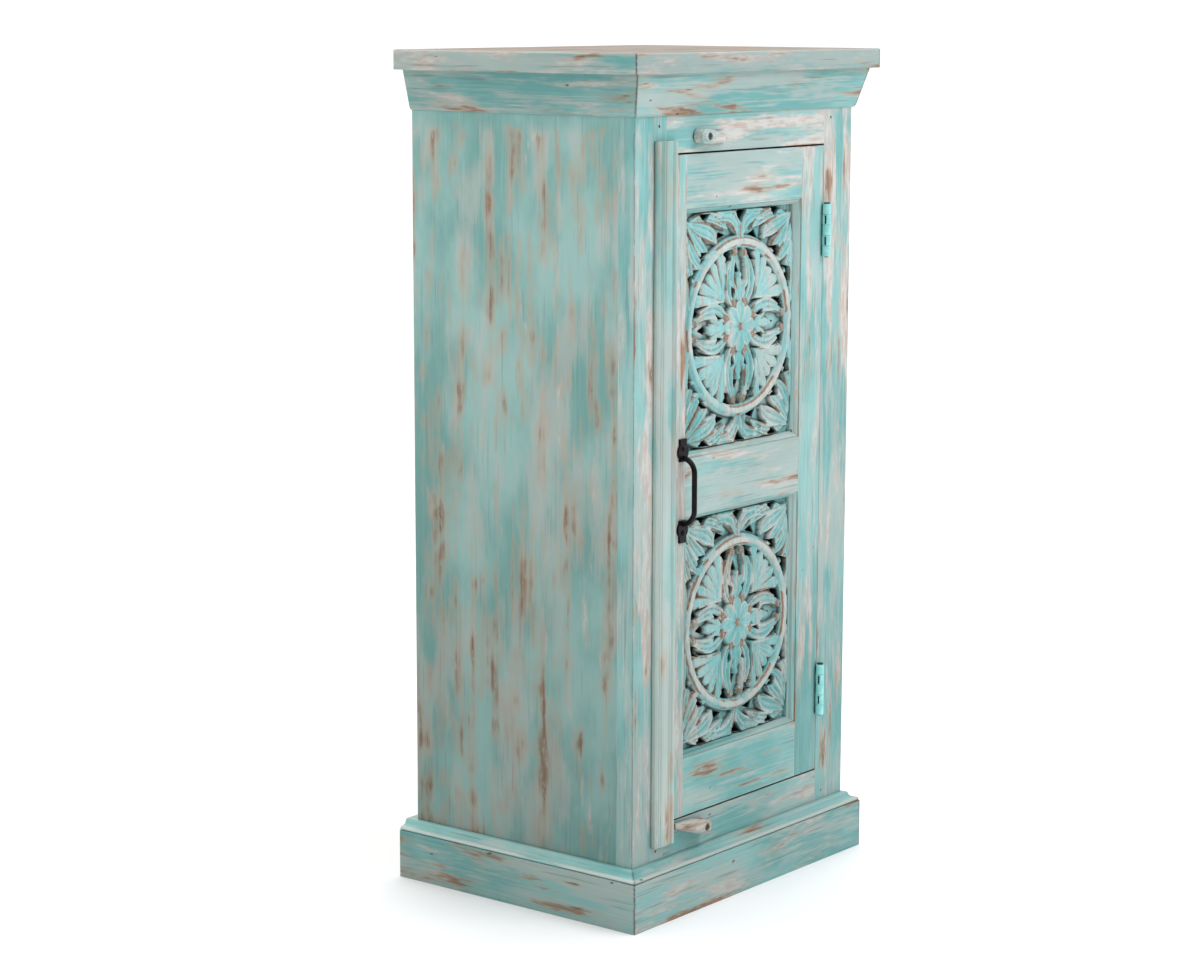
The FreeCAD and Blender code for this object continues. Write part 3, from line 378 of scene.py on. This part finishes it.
def bare_wood(name, grain):
    """Plain sawn wood with growth rings along the grain axis."""
    s = Shader(name)
    along = slowed(grain, 0.05)
    rings = s.noise(60, along, 5, 0.6, 2.2)
    pores = s.noise(500, along, 2, 0.5, 6.1)
    broad = s.noise(9, along, 2, 0.5, 9.4)
    s.colour = s.mix(s.fade(rings, 0.35, 0.65), SAWN_RING, SAWN)
    s.layer(SAWN_STAIN, s.fade(broad, 0.4, 0.7), 0.4)
    s.layer(SAWN_PORE, s.fade(pores, 0.58, 0.72), 0.5)
    height = s.sum(s.times(rings, 0.6), s.times(pores, 0.6))
    return s.finish(s.fade(rings, -0.9, 0.9), height, 0.0004, 0.25)


def iron(name, low, high, metallic, roughness, specular=0.5):
    """Hammered, blackened or painted metal with small dents, rubbed edges and painted shade in its creases.
    """
    s = Shader(name)
    dents = s.noise(170, detail=3, shift=4.4)
    grime_and_shade = s.noise(700, detail=2, shift=7.7)
    rim = s.edge(s.rounded(0.0012), 0.92, 0.995)
    s.colour = s.mix(s.fade(dents, 0.35, 0.68), low, high)
    s.layer(low, s.fade(grime_and_shade, 0.55, 0.75), 0.35)
    s.layer(high, rim, s.fade(dents, 0.4, 0.6))
    # painted shade in the creases, such as the slits of the hinge knuckles
    s.layer(CREASE_SHADE, s.fade(s.openness(0.003), 0.5, 0.15), 0.9)
    rough = s.span(grime_and_shade, 0.0, 1.0, roughness - 0.12, roughness + 0.15)
    return s.finish(rough, dents, 0.0005, specular, metallic, 0.0006)


# Paint by name: grain, thin coat, scraped patches, bare wood and rubbed edges, then other settings
SOFT_COAT = (PAINT_DULL, PAINT_FADED)
LIGHT_COAT = (PAINT, PAINT_LIGHT)
FRESH_COAT = (PAINT_FRESH_DEEP, PAINT_FRESH)
# The darkening pair in the other settings is painted shade: the height where it starts towards the floor, and
# its strength; above the cabinet it darkens a whole piece.
PAINTS = {
    "upright": (UPRIGHT, 0.75, 0.6, 0.35, 0.45, {}),
    "stile": (UPRIGHT, 0.75, 0.6, 0.35, 0.45, {"front": True}),
    "side": (UPRIGHT, 0.8, 0.25, 0.72, 0.4,
             {"soft": True, "clean": (0.888, 0.908), "grime_and_shade": (1.05, 0.82), "coat": SOFT_COAT}),
    "strip": (UPRIGHT, 1.15, 0.35, 0.05, 0.05,
              {"soft": True, "grime_and_shade": (0.9, 0.15), "lined": 0.45, "coat": SOFT_COAT, "seed": 3.0}),
    "bead": (UPRIGHT, 0.6, 0.5, 0.2, 0.4,
             {"grime_and_shade": (0.9, 0.15), "lined": 0.4, "coat": LIGHT_COAT, "seed": 10.0}),
    "bead_across": (ACROSS, 0.7, 0.45, 0.3, 0.4, {"lined": 0.6, "seed": 11.0}),
    "head": (ACROSS, 0.8, 0.8, 0.65, 0.45, {"seed": 12.0}),
    "hinge_stile": (UPRIGHT, 0.5, 0.25, 0.3, 0.4, {"seed": 6.0}),
    "rail": (ACROSS, 0.9, 0.64, 0.62, 0.45, {}),
    "middle": (ACROSS, 0.95, 0.6, 0.5, 0.45, {"seed": 14.0}),
    "low": (ACROSS, 0.55, 0.5, 0.4, 0.4, {"grime_and_shade": (0.9, 0.42), "seed": 2.0}),
    "foot": (ACROSS, 0.75, 0.62, 0.4, 0.4, {"seed": 4.0}),
    "plinth": (ACROSS, 0.5, 0.52, 0.75, 0.4, {"seed": 5.0}),
    "plinth_side": (DEEP, 0.6, 0.45, 0.9, 0.4, {"grime_and_shade": (0.9, 0.62), "seed": 17.0}),
    "base": (ACROSS, 0.5, 0.35, 0.2, 0.3, {"crest": BEAD_CREST, "seed": 8.0}),
    "base_side": (DEEP, 0.1, 0.15, 0.1, 0.1, {"grime_and_shade": (0.9, 0.16), "crest": BEAD_CREST, "seed": 9.0}),
    "crown": (ACROSS, 0.5, 0.5, 0.6, 0.5, {"grime_and_shade": (2.2, 0.2), "seed": 1.0}),
    "crown_side": (DEEP, 0.6, 0.6, 0.7, 0.5, {"grime_and_shade": (2.2, 0.62), "seed": 1.0}),
    "slab": (ACROSS, 0.95, 0.75, 0.95, 0.5, {"dusty": 0.85, "grime_and_shade": (2.2, 0.72)}),
    "slab_side": (DEEP, 1.0, 0.68, 0.8, 0.5, {"dusty": 0.85, "grime_and_shade": (2.2, 0.3), "seed": 2.0}),
    "button": (ACROSS, 0.9, 1.4, 0.45, 0.6, {}),
    "carved": (UPRIGHT, 0.4, 0.16, 0.0, 0.4, {"carved": True, "coat": FRESH_COAT}),
}
paints = {name: worn_paint("worn_paint_" + name, *shares, **more) for name, (*shares, more) in PAINTS.items()}
wood_up = bare_wood("bare_wood_upright", UPRIGHT)
wood_across = bare_wood("bare_wood_across", ACROSS)
wood_deep = bare_wood("bare_wood_deep", DEEP)
black_iron = iron("black_iron", rgb(10, 9, 11), rgb(26, 24, 26), 0.2, 0.34, 0.22)
hinge_paint = iron("hinge_paint", rgb(146, 224, 220), rgb(172, 236, 231), 0.0, 0.5)
# hinge pins in a dark teal, so the slits in the knuckles show dark: painted shade
pin_painted_shade = iron("pin_painted_shade", rgb(16, 38, 38), rgb(34, 60, 60), 0.2, 0.6)
dull_steel = iron("dull_steel", rgb(70, 62, 54), rgb(134, 126, 116), 0.8, 0.5)

# Pieces that get a material of their own; the others follow their material slot
WEARERS = {
    paints["side"]: ("left_side", "right_side"),
    paints["stile"]: ("frame_left_stile", "frame_right_stile"),
    paints["strip"]: ("door_cover_strip",),
    paints["hinge_stile"]: ("door_hinge_stile",),
    paints["bead"]: ("upper_bead_left", "upper_bead_right", "lower_bead_left", "lower_bead_right"),
    paints["bead_across"]: ("upper_bead_top", "upper_bead_bottom", "lower_bead_top", "lower_bead_bottom"),
    paints["head"]: ("frame_top_rail",),
    paints["rail"]: ("door_top_rail",),
    paints["middle"]: ("door_middle_rail",),
    paints["low"]: ("door_bottom_rail",),
    paints["foot"]: ("frame_bottom_rail",),
    paints["plinth"]: ("plinth_front", "plinth_back"),
    paints["plinth_side"]: ("plinth_left", "plinth_right"),
    paints["base"]: ("base_moulding_front",),
    paints["base_side"]: ("base_moulding_left", "base_moulding_right"),
    paints["crown"]: ("crown_front",),
    paints["crown_side"]: ("crown_left", "crown_right"),
    paints["slab"]: ("top_edge_front", "top_panel"),
    paints["slab_side"]: ("top_edge_left", "top_edge_right"),
    paints["button"]: ("upper_turn_button", "lower_turn_button"),
    pin_painted_shade: ("upper_hinge_pin", "lower_hinge_pin"),
    wood_across: ("shelf", "bottom_board", "back_top_rail"),
    wood_deep: ("shelf_cleat_left", "shelf_cleat_right", "floor_cleat_left", "floor_cleat_right"),
}
CHOSEN = {name: material for material, names in WEARERS.items() for name in names}
USUAL = {"black_iron": black_iron, "painted_hinge": hinge_paint, "steel": dull_steel,
         "bare_wood": wood_up, "painted_wood": paints["upright"]}
for part in frame["record"]["subparts"]:
    mesh = frame["nodes"][part["node"]].data
    mesh.materials.clear()
    mesh.materials.append(CHOSEN.get(part["node"], USUAL[part["material_slot"]]))

# Carved panels, laid out in mm from the panel's centre: u to the right, v up.
# SIGHT and PLATE are half sizes of what shows inside the beads and of the whole plate.
GRID = 0.8
SIGHT = (103.0, 130.5)
PLATE = (116.0, 143.5)
PLATE_THICK = 7.0
RING = 94.5
RING_HALF = 7.0
RING_HEIGHT = 8.4
CURVE_POINTS = 48
LEAF_END = 1.04
LEAF_FOOT = 2.0
BELOW = -9.0
SHARP_ANGLE = math.radians(60)


def smooth(value):
    value = np.clip(value, 0, 1)
    return value * value * (3 - 2 * value)


def bump(value, centre, width):
    """A rounded peak of height 1."""
    return np.exp(-((value - centre) / width) ** 2)


def curve(path):
    """Points along a curve drawn by three or four control points."""
    t = np.linspace(0, 1, CURVE_POINTS)[:, None]
    points = [np.array(place, float) for place in path]
    while len(points) > 1:
        points = [(1 - t) * first + t * second for first, second in zip(points, points[1:])]
    return points[0]


def blur(field, radius):
    """A soft average over a radius in mm."""
    reach = int(2 * radius / GRID) + 1
    weights = np.exp(-(np.arange(-reach, reach + 1) * GRID / radius) ** 2)
    weights /= weights.sum()
    for axis in (0, 1):
        padded = np.pad(field, [(reach, reach) if axis == k else (0, 0) for k in (0, 1)], mode="edge")
        size = field.shape[axis]
        field = sum(weight * np.take(padded, range(k, k + size), axis) for k, weight in enumerate(weights))
    return field


def half_width(form, width, length, t):
    """Half the width of a leaf along its length: round-ended lobes and petals, or pointed leaves."""
    if form in ("lobe", "petal"):
        end = 1 - width / 2 / length
        half = width / 2 * np.clip(t / end, 0.12, 1) ** 0.75
        half = half * np.sqrt(np.clip(1 - (np.clip(t - end, 0, 1) / (1 - end)) ** 2, 0, 1))
    else:
        half = width / 2 * np.sin(np.pi * np.clip(t, 0.02, 0.98) ** 0.7) ** 0.7
    return np.maximum(half, 0.3)


def profile(form, crest, share, middle, t):
    """Height across a leaf, and a mask of the rim that gets rubbed."""
    if form == "cupped":
        return crest - 2.6 + 2.6 * smooth(share / 0.78) + 1.7 * middle, bump(share, 0.82, 0.19)
    if form == "lobe":
        return crest - 2.6 * share ** 2 - 0.9 * middle * smooth(t * 3), bump(share, 0.85, 0.2) * smooth(t * 2)
    if form == "petal":
        surface = crest - 1.4 + 1.4 * smooth(share / 0.7) - 3.0 * share ** 4
        return surface, bump(share, 0.78, 0.16) * smooth(t * 2.5)
    return crest - 2.0 * share ** 2, bump(share, 0, 0.7)


class Carving:
    """A height field over the panel, with masks of its pale and brown worn places."""

    def __init__(self, random):
        u = np.linspace(-PLATE[0], PLATE[0], int(2 * PLATE[0] / GRID) + 1)
        v = np.linspace(-PLATE[1], PLATE[1], int(2 * PLATE[1] / GRID) + 1)
        self.u, self.v = np.meshgrid(u, v)
        self.height = np.zeros_like(self.u)
        self.worn = np.zeros_like(self.u)
        self.pale = np.zeros_like(self.u)
        self.cut = np.full_like(self.u, np.inf)
        patch = blur(random.normal(0, 1, self.u.shape), 9.0)
        self.patch = smooth(0.5 + patch / patch.std() / 2.2)

    def raise_to(self, window, height, worn, pale):
        """Keeps the higher of the old surface and a new form inside a window."""
        over = height > self.height[window]
        for field, value in ((self.height, height), (self.worn, worn), (self.pale, pale)):
            field[window] = np.where(over, value, field[window])

    def window(self, low, high):
        columns = np.searchsorted(self.u[0], (low[0], high[0]))
        rows = np.searchsorted(self.v[:, 0], (low[1], high[1]))
        return slice(*rows), slice(*columns)

    def leaf(self, path, width, crest, form="cupped", veins=0, brown=0.5, even=False):
        """A leaf along a curve: cupped between raised rims, a lobe of a fan, a petal or a narrow rib."""
        line = curve(path)
        reach = width / 2 + 2
        window = self.window(line.min(0) - reach, line.max(0) + reach)
        gap_u = self.u[window][..., None] - line[:, 0]
        gap_v = self.v[window][..., None] - line[:, 1]
        far = gap_u ** 2 + gap_v ** 2
        near = far.argmin(-1)
        way = np.gradient(line, axis=0)
        length = np.linalg.norm(way, axis=1).sum()
        way /= np.linalg.norm(way, axis=1)[:, None]
        pick = near[..., None]
        side = np.take_along_axis(gap_v, pick, -1)[..., 0] * way[near, 0]
        side -= np.take_along_axis(gap_u, pick, -1)[..., 0] * way[near, 1]
        t = near / (len(line) - 1)
        half = half_width(form, width, length, t)
        share = np.sqrt(far.min(-1)) / half
        across = np.abs(side) / half
        middle = bump(across, 0, 0.16)
        surface, rim = profile(form, crest, share, middle, t)
        for vein in range(1, veins + 1):
            apart = across - 0.12 - 0.56 * vein / (veins + 1) * (0.75 + 0.5 * t)
            surface = surface - 1.1 * bump(apart * half, 0, 0.9) * smooth(t * 5) * smooth((1 - t) * 5)
        rise = 0.84 + 0.16 * np.sin(np.pi * np.clip(t, 0, 1))
        skirt = smooth((LEAF_END - share) / 0.2)
        surface = np.where(share < LEAF_END, (LEAF_FOOT + (surface - LEAF_FOOT) * skirt) * rise, BELOW)
        patch = self.patch[window]
        worn = rim * np.clip(brown + 1.6 * (patch - 0.5), 0, 1)
        pale = rim * 0.9 if even else np.clip(rim + 0.6 * middle, 0, 1) * np.clip(1.1 - patch, 0, 1)
        self.raise_to(window, surface, worn, pale)

    def bead(self, place, radius, height, brown):
        """A dome with a brown rim round a slightly pale centre."""
        u, v = place
        window = self.window((u - radius, v - radius), (u + radius, v + radius))
        far = np.hypot(self.u[window] - u, self.v[window] - v) / radius
        dome = np.where(far < 1, height * np.sqrt(np.clip(1 - 0.7 * far ** 2, 0, 1)), BELOW)
        rim = smooth((far + 0.1) / 0.3)
        self.raise_to(window, dome, brown * rim, 0.4 * brown * (1 - rim))

    def ring(self):
        """The half-round ring with a fine incised line on each flank."""
        share = np.clip((np.hypot(self.u, self.v) - RING) / RING_HALF, -1.2, 1.2)
        arch = RING_HEIGHT * np.sqrt(np.clip(1 - 0.75 * share ** 2, 0, 1))
        for line in (-0.66, 0.68):
            arch -= 1.3 * bump(share, line, 0.11)
        crest = np.exp(-((share + 0.1) / 0.7) ** 4) * (0.5 + 0.5 * self.patch)
        worn = bump(np.abs(share), 0.6, 0.22) * np.clip(2.8 * self.patch - 0.85, 0, 1)
        self.raise_to(slice(None), np.where(np.abs(share) < 1, arch, BELOW), worn, crest)

    def pierce(self, shape):
        """Cuts a hole of a convex outline."""
        points = np.array(shape, float)
        ahead = np.roll(points, -1, 0)
        area = np.sum(points[:, 0] * ahead[:, 1] - ahead[:, 0] * points[:, 1])
        sides = []
        for start, end in zip(points, ahead):
            way = (end - start) / np.linalg.norm(end - start) * np.sign(area)
            sides.append((self.u - start[0]) * way[1] - (self.v - start[1]) * way[0])
        self.cut = np.minimum(self.cut, np.max(sides, 0))


def ray(start, angle, length, bow=0.0):
    """A path of three points from a start at an angle, bowed sideways at its middle."""
    du, dv = math.cos(math.radians(angle)), math.sin(math.radians(angle))
    middle = (start[0] + du * length / 2 - dv * bow, start[1] + dv * length / 2 + du * bow)
    return [start, middle, (start[0] + du * length, start[1] + dv * length)]


def quarter(path, turns):
    """A path turned about the centre by a number of right angles."""
    for turn in range(turns):
        path = [(-v, u) for u, v in path]
    return path


def mirrored(path, way_u, way_v=1):
    return [(u * way_u, v * way_v) for u, v in path]


# Leaves of the top right corner: path, width, veins on each side of the midrib
CORNER_LEAVES = (
    ([(2, 128), (20, 131), (50, 127)], 8, 0),
    ([(97, 18), (103, 46), (97, 72)], 11, 0),
    ([(86, 56), (103, 70), (97, 98)], 14, 1),
    ([(72, 70), (92, 80), (99, 110)], 17, 1),
    ([(60, 82), (78, 92), (98, 118)], 18, 1),
    ([(26, 110), (56, 132), (94, 119)], 15, 1),
    ([(46, 96), (56, 112), (80, 110), (98, 122)], 21, 1),
    ([(3, 102), (6, 130), (34, 130), (58, 116)], 22, 1),
)
CORNER_HOLES = (
    [(55, 129), (78, 129), (66, 119)],
    [(20, 102), (40, 96), (34, 107)],
    [(58, 86), (76, 72), (74, 86)],
    [(84, 64), (96, 42), (97, 60)],
)
MIDDLE_HOLE = [(-11, 129), (11, 129), (0, 115)]
# Forms of the quarter above the rosette, and of the fan to its right
CURL = [(8, 22), (33, 52), (5, 88)]
CURL_HOLES = (
    [(13, 87), (24, 85), (29, 72), (17, 74)],
    [(11, 31), (17, 46), (9, 42)],
)
BUD_HOLE = [(-5, 60), (5, 60), (0, 72)]
FAN = (29, 30)
FAN_SPOKES = (54, 48, 45, 48, 54)
FAN_RIBS = ((-3, 3.0), (93, -3.0))
PETALS = 8
PETAL_STEP = 360 / PETALS
PETAL_BEADS = 27.5


def carve(seed):
    """Ring, rosette, fans, buds, curls and corner leaves of one panel."""
    random = np.random.default_rng(seed)
    carving = Carving(random)

    def about(path, loose=1.2):
        return [tuple(np.array(place) + random.uniform(-loose, loose, 2)) for place in path]

    for way_v in (1, -1):
        for way_u in (1, -1):
            for path, width, veins in CORNER_LEAVES:
                carving.leaf(about(mirrored(path, way_u, way_v)), width, crest=7.4, veins=veins, brown=0.75)
            for shape in CORNER_HOLES:
                carving.pierce(about(mirrored(shape, way_u, way_v), 0.8))
        carving.pierce(about(mirrored(MIDDLE_HOLE, 1, way_v), 0.8))
    for turns in range(4):
        for way in (1, -1):
            carving.leaf(about(quarter(mirrored(CURL, way), turns)), 19, crest=6.8, veins=1, brown=0.42)
            for shape in CURL_HOLES:
                carving.pierce(about(quarter(mirrored(shape, way), turns), 0.6))
        carving.pierce(about(quarter(BUD_HOLE, turns), 0.6))
        for spoke, length in enumerate(FAN_SPOKES):
            path = quarter(ray(FAN, 4 + 20.5 * spoke, length, 1.5 * (2 - spoke)), turns)
            carving.leaf(about(path, 0.7), 15, crest=7.4, form="lobe", brown=0.38)
        for angle, bow in FAN_RIBS:
            path = quarter(ray(FAN, angle, 52, bow), turns)
            carving.leaf(about(path, 0.7), 4.2, crest=8.4, form="rib", brown=0.8)
        for lean in (-34, 34, 0):
            path = quarter(ray((0, 24), 90 + lean, 32, -lean * 0.12), turns)
            carving.leaf(about(path, 0.7), 14, crest=6.6, form="lobe", brown=0.45)
        carving.bead(quarter([(0, 57)], turns)[0], radius=4.5, height=7.0, brown=0.3)
        for way in (1, -1):
            carving.bead(about(quarter([(way * 9, 82)], turns))[0], radius=5.4, height=7.6, brown=0.75)
    for petal in range(PETALS):
        angle = math.radians(PETAL_STEP * (petal + 0.5))
        place = (PETAL_BEADS * math.cos(angle), PETAL_BEADS * math.sin(angle))
        carving.bead(place, radius=7.0, height=6.8, brown=1.0)
    for petal in range(PETALS):
        path = ray((0, 0), PETAL_STEP * petal, 28.5)
        carving.leaf(path, 19.0, crest=9.0, form="petal", brown=-0.5, even=True)
    for radius, height, brown in ((9.0, 8.6, 0.0), (7.2, 9.6, 1.0), (3.4, 10.2, 0.0)):
        carving.bead((0, 0), radius, height, brown)
    carving.ring()
    ripple = blur(random.normal(0, 1, carving.u.shape), 2.4)
    sight = smooth(np.minimum(SIGHT[0] - np.abs(carving.u), SIGHT[1] - np.abs(carving.v)))
    carving.height = sight * (carving.height + 0.22 * ripple / ripple.std())
    return carving


def panel_mesh(name, carving, centre, ground):
    """A closed pierced plate whose front is the carved height field."""
    height = blur(carving.height, 0.7)
    hollow = np.clip((blur(height, 4.5) - height) / 2.6, 0, 1)
    line = smooth((blur(height, 1.9) - height - 0.3) / 0.8)
    # points close to a hole's edge are drawn onto it
    close = 0.7 * GRID
    slope_v, slope_u = np.gradient(carving.cut, GRID)
    pull = np.where(np.abs(carving.cut) < close, carving.cut, 0)
    u = carving.u - pull * slope_u
    v = carving.v - pull * slope_v
    solid = carving.cut > -close
    kept = solid[:-1, :-1] & solid[1:, :-1] & solid[:-1, 1:] & solid[1:, 1:]
    kept &= (carving.cut[:-1, :-1] + carving.cut[1:, 1:] + carving.cut[1:, :-1] + carving.cut[:-1, 1:]) > 0
    # front, walls round the outline and the holes, and back
    count = u.size
    index = np.arange(count).reshape(u.shape)
    a, b, c, d = index[:-1, :-1], index[:-1, 1:], index[1:, 1:], index[1:, :-1]
    front = np.stack([a, b, c, d], -1)[kept]
    faces = [front]
    fence = np.pad(kept, 1)
    inner = fence[1:-1, 1:-1]
    for start, end, other in ((a, b, fence[:-2, 1:-1]), (b, c, fence[1:-1, 2:]),
                              (c, d, fence[2:, 1:-1]), (d, a, fence[1:-1, :-2])):
        rim = inner & ~other
        faces.append(np.stack([end[rim], start[rim], start[rim] + count, end[rim] + count], -1))
    painted = sum(len(part) for part in faces)
    faces = np.concatenate(faces + [front[:, ::-1] + count])
    x = np.tile(centre[0] + u.ravel() * MM, 2)
    z = np.tile(centre[1] + v.ravel() * MM, 2)
    y = np.concatenate([ground - height.ravel() * MM, np.full(count, ground + PLATE_THICK * MM)])
    used, compact = np.unique(faces, return_inverse=True)
    mesh = bpy.data.meshes.new(name)
    mesh.from_pydata(np.stack([x, y, z], -1)[used], [], compact.reshape(-1, 4).tolist())
    # masks for the paint; the hole mask is 1 on the back, so the walls of the holes darken inwards as painted
    # shade
    for label, field, behind in (("pale", carving.pale, 0.0), ("hollow", hollow, 0.0), ("line", line, 0.0),
                                 ("worn", carving.worn, 0.0), ("hole_shade", np.zeros_like(height), 1.0)):
        values = np.concatenate([field.ravel(), np.full(count, behind)])[used]
        layer = mesh.attributes.new(label, "FLOAT", "POINT")
        layer.data.foreach_set("value", values.astype(np.float32))
    mesh.materials.append(paints["carved"])
    mesh.materials.append(wood_up)
    slots = np.zeros(len(faces), np.int32)
    slots[painted:] = 1
    mesh.polygons.foreach_set("material_index", slots)
    mesh.polygons.foreach_set("use_smooth", np.ones(len(faces), bool))
    mesh.set_sharp_from_angle(angle=SHARP_ANGLE)
    item = bpy.data.objects.new(name, mesh)
    bpy.context.scene.collection.objects.link(item)
    return item


for name, seed in (("upper", 11), ("lower", 23)):
    low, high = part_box(name + "_carved_panel")
    centre = ((low[0] + high[0]) / 2, (low[2] + high[2]) / 2)
    piece = panel_mesh(name + "_panel_carving", carve(seed), centre, high[1] - PLATE_THICK * MM)
    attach(piece, "door")
    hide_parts(name + "_carved_panel")

# Floor, light and camera
FLOOR_RADIUS = 2.4
FLOOR_POINTS = 96
MIDDLE = (0, 0, 0.75)


def stage_floor():
    s = Shader("pale_floor")
    cloud = s.noise(0.8, detail=2)
    s.colour = s.mix(s.fade(cloud, 0.3, 0.7), *FLOOR_TONES)
    material = s.finish(s.fade(cloud, -1.5, 0.5), cloud, 0.0001, 0.1, round_edges=0.0)
    mesh = bpy.data.meshes.new("floor")
    turns = [2 * math.pi * k / FLOOR_POINTS for k in range(FLOOR_POINTS)]
    disc = [(FLOOR_RADIUS * math.cos(turn), FLOOR_RADIUS * math.sin(turn), 0) for turn in turns]
    mesh.from_pydata(disc, [], [range(FLOOR_POINTS)])
    mesh.materials.append(material)
    item = bpy.data.objects.new("floor", mesh)
    bpy.context.scene.collection.objects.link(item)


def area_light(name, place, aim, size, power, tint=(1.0, 1.0, 1.0)):
    light = bpy.data.lights.new(name, "AREA")
    light.shape = "RECTANGLE"
    light.size = size
    light.size_y = size
    light.energy = power
    light.color = tint
    item = bpy.data.objects.new(name, light)
    item.location = place
    item.rotation_euler = (Vector(aim) - Vector(place)).to_track_quat("-Z", "Y").to_euler()
    bpy.context.scene.collection.objects.link(item)


def studio_world():
    """A backdrop that is white from every side, though its light comes mostly from the right."""
    world = bpy.data.worlds.new("studio")
    bpy.context.scene.world = world
    sky = Nodes(world)
    place = sky.node("ShaderNodeTexCoord").outputs["Generated"]
    toward = sky.vector("DOT_PRODUCT", place, (0.78, 0.62, 0.0))["Value"]
    glow = sky.span(toward, -0.3, 0.6, 0.3, 1.1)
    seen = sky.node("ShaderNodeLightPath").outputs["Is Camera Ray"]
    background = sky.node("ShaderNodeBackground", {"Color": sky.calc("MAXIMUM", glow, seen)})
    sky.node("ShaderNodeOutputWorld", {"Surface": background.outputs["Background"]})


def photo_camera(place, forward, roll, lens):
    """A camera at a place, looking forward and turned a little about its own axis."""
    data = bpy.data.cameras.new("camera")
    data.sensor_width = 36.0
    data.sensor_fit = "HORIZONTAL"
    data.lens = lens
    camera = bpy.data.objects.new("camera", data)
    bpy.context.scene.collection.objects.link(camera)
    forward = Vector(forward).normalized()
    level = forward.cross(Vector((0, 0, 1))).normalized()
    upward = level.cross(forward)
    right = level * math.cos(roll) + upward * math.sin(roll)
    up = upward * math.cos(roll) - level * math.sin(roll)
    turn = Matrix((right, up, -forward)).transposed().to_4x4()
    camera.matrix_world = Matrix.Translation(place) @ turn
    bpy.context.scene.camera = camera


stage_floor()
area_light("key", (0.5, -2.2, 2.5), MIDDLE, 1.4, 33, (0.97, 1.01, 1.1))
area_light("side_fill", (-2.4, -0.2, 2.5), MIDDLE, 1.4, 15)
area_light("overhead", (0.6, 0.8, 5.0), (0, 0, 0), 7.0, 230)
studio_world()
photo_camera((-2.6137, -2.0233, 1.0058), (0.7727, 0.6131, -0.1642), math.radians(0.13), 86.77)
bpy.context.scene.view_settings.view_transform = "Standard"
